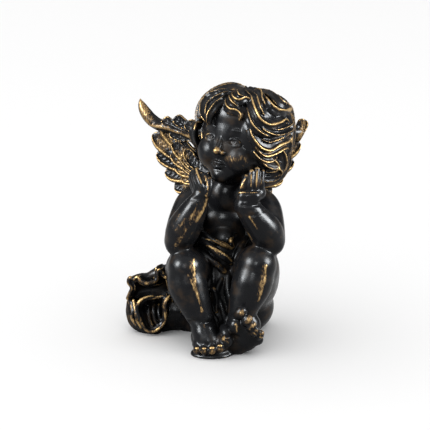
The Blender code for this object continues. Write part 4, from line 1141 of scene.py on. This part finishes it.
def brushedBronze():
    material = bpy.data.materials.new("antiqueBronzeFinish")
    material.use_nodes = True
    tree = material.node_tree
    shader = tree.nodes["Principled BSDF"]
    shader.inputs["Specular IOR Level"].default_value = finish["gloss"]
    place = node(tree, "ShaderNodeTexCoord").outputs["Object"]

    def attribute(name):
        return node(tree, "ShaderNodeAttribute", attribute_name=name).outputs["Fac"]

    def plus(a, b):
        return maths(tree, "ADD", a, b)

    def times(a, b):
        return maths(tree, "MULTIPLY", a, b)

    def either(value, amount):
        # a noise as a shift of up to half the amount, up or down
        return times(maths(tree, "SUBTRACT", value, 0.5), amount)

    # brush marks: noise drawn out up the figure, broken by patches and a finer grain
    stretch = node(tree, "ShaderNodeMapping")
    stretch.inputs["Scale"].default_value = finish["markStretch"]
    stretch.inputs["Rotation"].default_value = finish["markSlant"]
    tree.links.new(place, stretch.inputs["Vector"])
    marks = noise(tree, stretch.outputs[0], *finish["marks"])
    patches = noise(tree, place, *finish["patches"])
    grain = noise(tree, place, *finish["grain"])

    # gold lies on worn edges, thinner on worn forms, and wherever it was rubbed on
    edge = plus(plus(attribute("edgeWear"), either(patches, 0.34)), either(marks, 0.14))
    edge = times(ranged(tree, edge, *finish["edge"]), ranged(tree, marks, 0.30, 0.50, 0.35, 1.0))
    form = times(ranged(tree, attribute("formWear"), *finish["form"]), ranged(tree, marks, 0.42, 0.60))
    # the rubbed gold also carries the cheek's strokes, which are partly a painted highlight
    rub = plus(plus(attribute("rub"), times(marks, 0.9)), either(patches, 0.5))
    rub = times(ranged(tree, rub, *finish["rub"]), ranged(tree, attribute("rub"), 0.05, 0.35))
    gold = maths(tree, "MAXIMUM", maths(tree, "MAXIMUM", edge, times(form, 0.55)), rub)
    gold = maths(tree, "MULTIPLY", gold, ranged(tree, grain, 0.28, 0.48, 0.65, 1.0), clamp=True)

    dark = mixed(tree, ranged(tree, patches, 0.50, 0.75), finish["base"], finish["warm"])
    bronze = mixed(tree, ranged(tree, marks, 0.50, 0.72), finish["gold"], finish["paleGold"])
    thin = mixed(tree, ranged(tree, gold, 0.0, 0.45), dark, finish["oldGold"])
    tree.links.new(mixed(tree, ranged(tree, gold, 0.25, 0.85), thin, bronze), shader.inputs["Base Color"])
    tree.links.new(ranged(tree, gold, 0.1, 0.8, 0.0, 0.8), shader.inputs["Metallic"])
    satin = ranged(tree, patches, 0.35, 0.65, *finish["roughness"])
    rough = plus(times(satin, maths(tree, "SUBTRACT", 1.0, gold)), times(gold, finish["goldRoughness"]))
    tree.links.new(rough, shader.inputs["Roughness"])

    bump = node(tree, "ShaderNodeBump")
    bump.inputs["Strength"].default_value = finish["bumpStrength"]
    bump.inputs["Distance"].default_value = finish["bumpHeight"]
    heights = plus(times(noise(tree, place, *finish["pits"]), 0.6), times(gold, 0.35))
    tree.links.new(heights, bump.inputs["Height"])
    tree.links.new(bump.outputs[0], shader.inputs["Normal"])
    return material


castMesh.materials.clear()
castMesh.materials.append(brushedBronze())
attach(figurine, "root")
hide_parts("figurine")
print("finish laid on")


# Floor, lights and camera

stage = {
    "floor": (0.90, 0.90, 0.90), "floorRoughness": 0.85, "floorSize": (60.0, 0.01), "surround": 0.14,
    "backdrop": 1.0,
    "lightColour": (0.93, 0.97, 1.0), "lightsAimAt": (0, 0, 0.10),
    # each light: place, size, power
    "lights": (((-0.80, -0.45, 0.55), 0.50, 60.0), ((0.85, -0.25, 0.45), 0.46, 52.0),
               ((-0.15, -1.15, 0.60), 0.24, 8.0)),
    "sky": {"strength": 3.3, "softness": 120, "tilt": (12, -10, 0)},
}
floor = holder("floor", slabMesh("floor", *stage["floorSize"]))
paper = bpy.data.materials.new("palePaper")
paper.use_nodes = True
pulp = paper.node_tree.nodes["Principled BSDF"]
pulp.inputs["Base Color"].default_value = (*stage["floor"], 1)
pulp.inputs["Roughness"].default_value = stage["floorRoughness"]
floor.data.materials.append(paper)

# the studio is dim where it is mirrored in the figure, and white where it stands behind it
world = bpy.data.worlds.new("studio")
world.use_nodes = True
studio = world.node_tree
dim = studio.nodes["Background"]
dim.inputs["Color"].default_value = (1, 1, 1, 1)
dim.inputs["Strength"].default_value = stage["surround"]
white = node(studio, "ShaderNodeBackground")
white.inputs["Strength"].default_value = stage["backdrop"]
white.inputs["Color"].default_value = (1, 1, 1, 1)
shown = node(studio, "ShaderNodeMixShader")
studio.links.new(node(studio, "ShaderNodeLightPath").outputs["Is Camera Ray"], shown.inputs[0])
studio.links.new(dim.outputs[0], shown.inputs[1])
studio.links.new(white.outputs[0], shown.inputs[2])
studio.links.new(shown.outputs[0], studio.nodes["World Output"].inputs["Surface"])
bpy.context.scene.world = world

overhead = bpy.data.lights.new("overhead", "SUN")
overhead.energy = stage["sky"]["strength"]
overhead.angle = math.radians(stage["sky"]["softness"])
sky = bpy.data.objects.new("overhead", overhead)
sky.rotation_euler = [math.radians(t) for t in stage["sky"]["tilt"]]
bpy.context.scene.collection.objects.link(sky)
bpy.context.scene.view_settings.view_transform = "Standard"

# the softboxes light the figure alone, so the paper stays even
lit = bpy.data.collections.new("litFigure")
lit.objects.link(figurine)
target = Vector(stage["lightsAimAt"])
for k, (spot, size, power) in enumerate(stage["lights"]):
    lamp = bpy.data.lights.new(f"softbox{k}", "AREA")
    lamp.shape = "DISK"
    lamp.size = size
    lamp.energy = power
    lamp.color = stage["lightColour"]
    obj = bpy.data.objects.new(f"softbox{k}", lamp)
    obj.location = spot
    obj.rotation_euler = (target - Vector(spot)).to_track_quat("-Z", "Y").to_euler()
    obj.light_linking.receiver_collection = lit
    bpy.context.scene.collection.objects.link(obj)

away = Vector(viewBack)
lens = bpy.data.cameras.new("camera")
lens.sensor_width = view["sensor"]
lens.lens = lens.sensor_width * view["distance"] / view["span"]
camera = bpy.data.objects.new("camera", lens)
camera.location = (Vector(view["target"]) + away * view["distance"]) * millimetre
camera.rotation_euler = (-away).to_track_quat("-Z", "Y").to_euler()
bpy.context.scene.collection.objects.link(camera)
bpy.context.scene.camera = camera
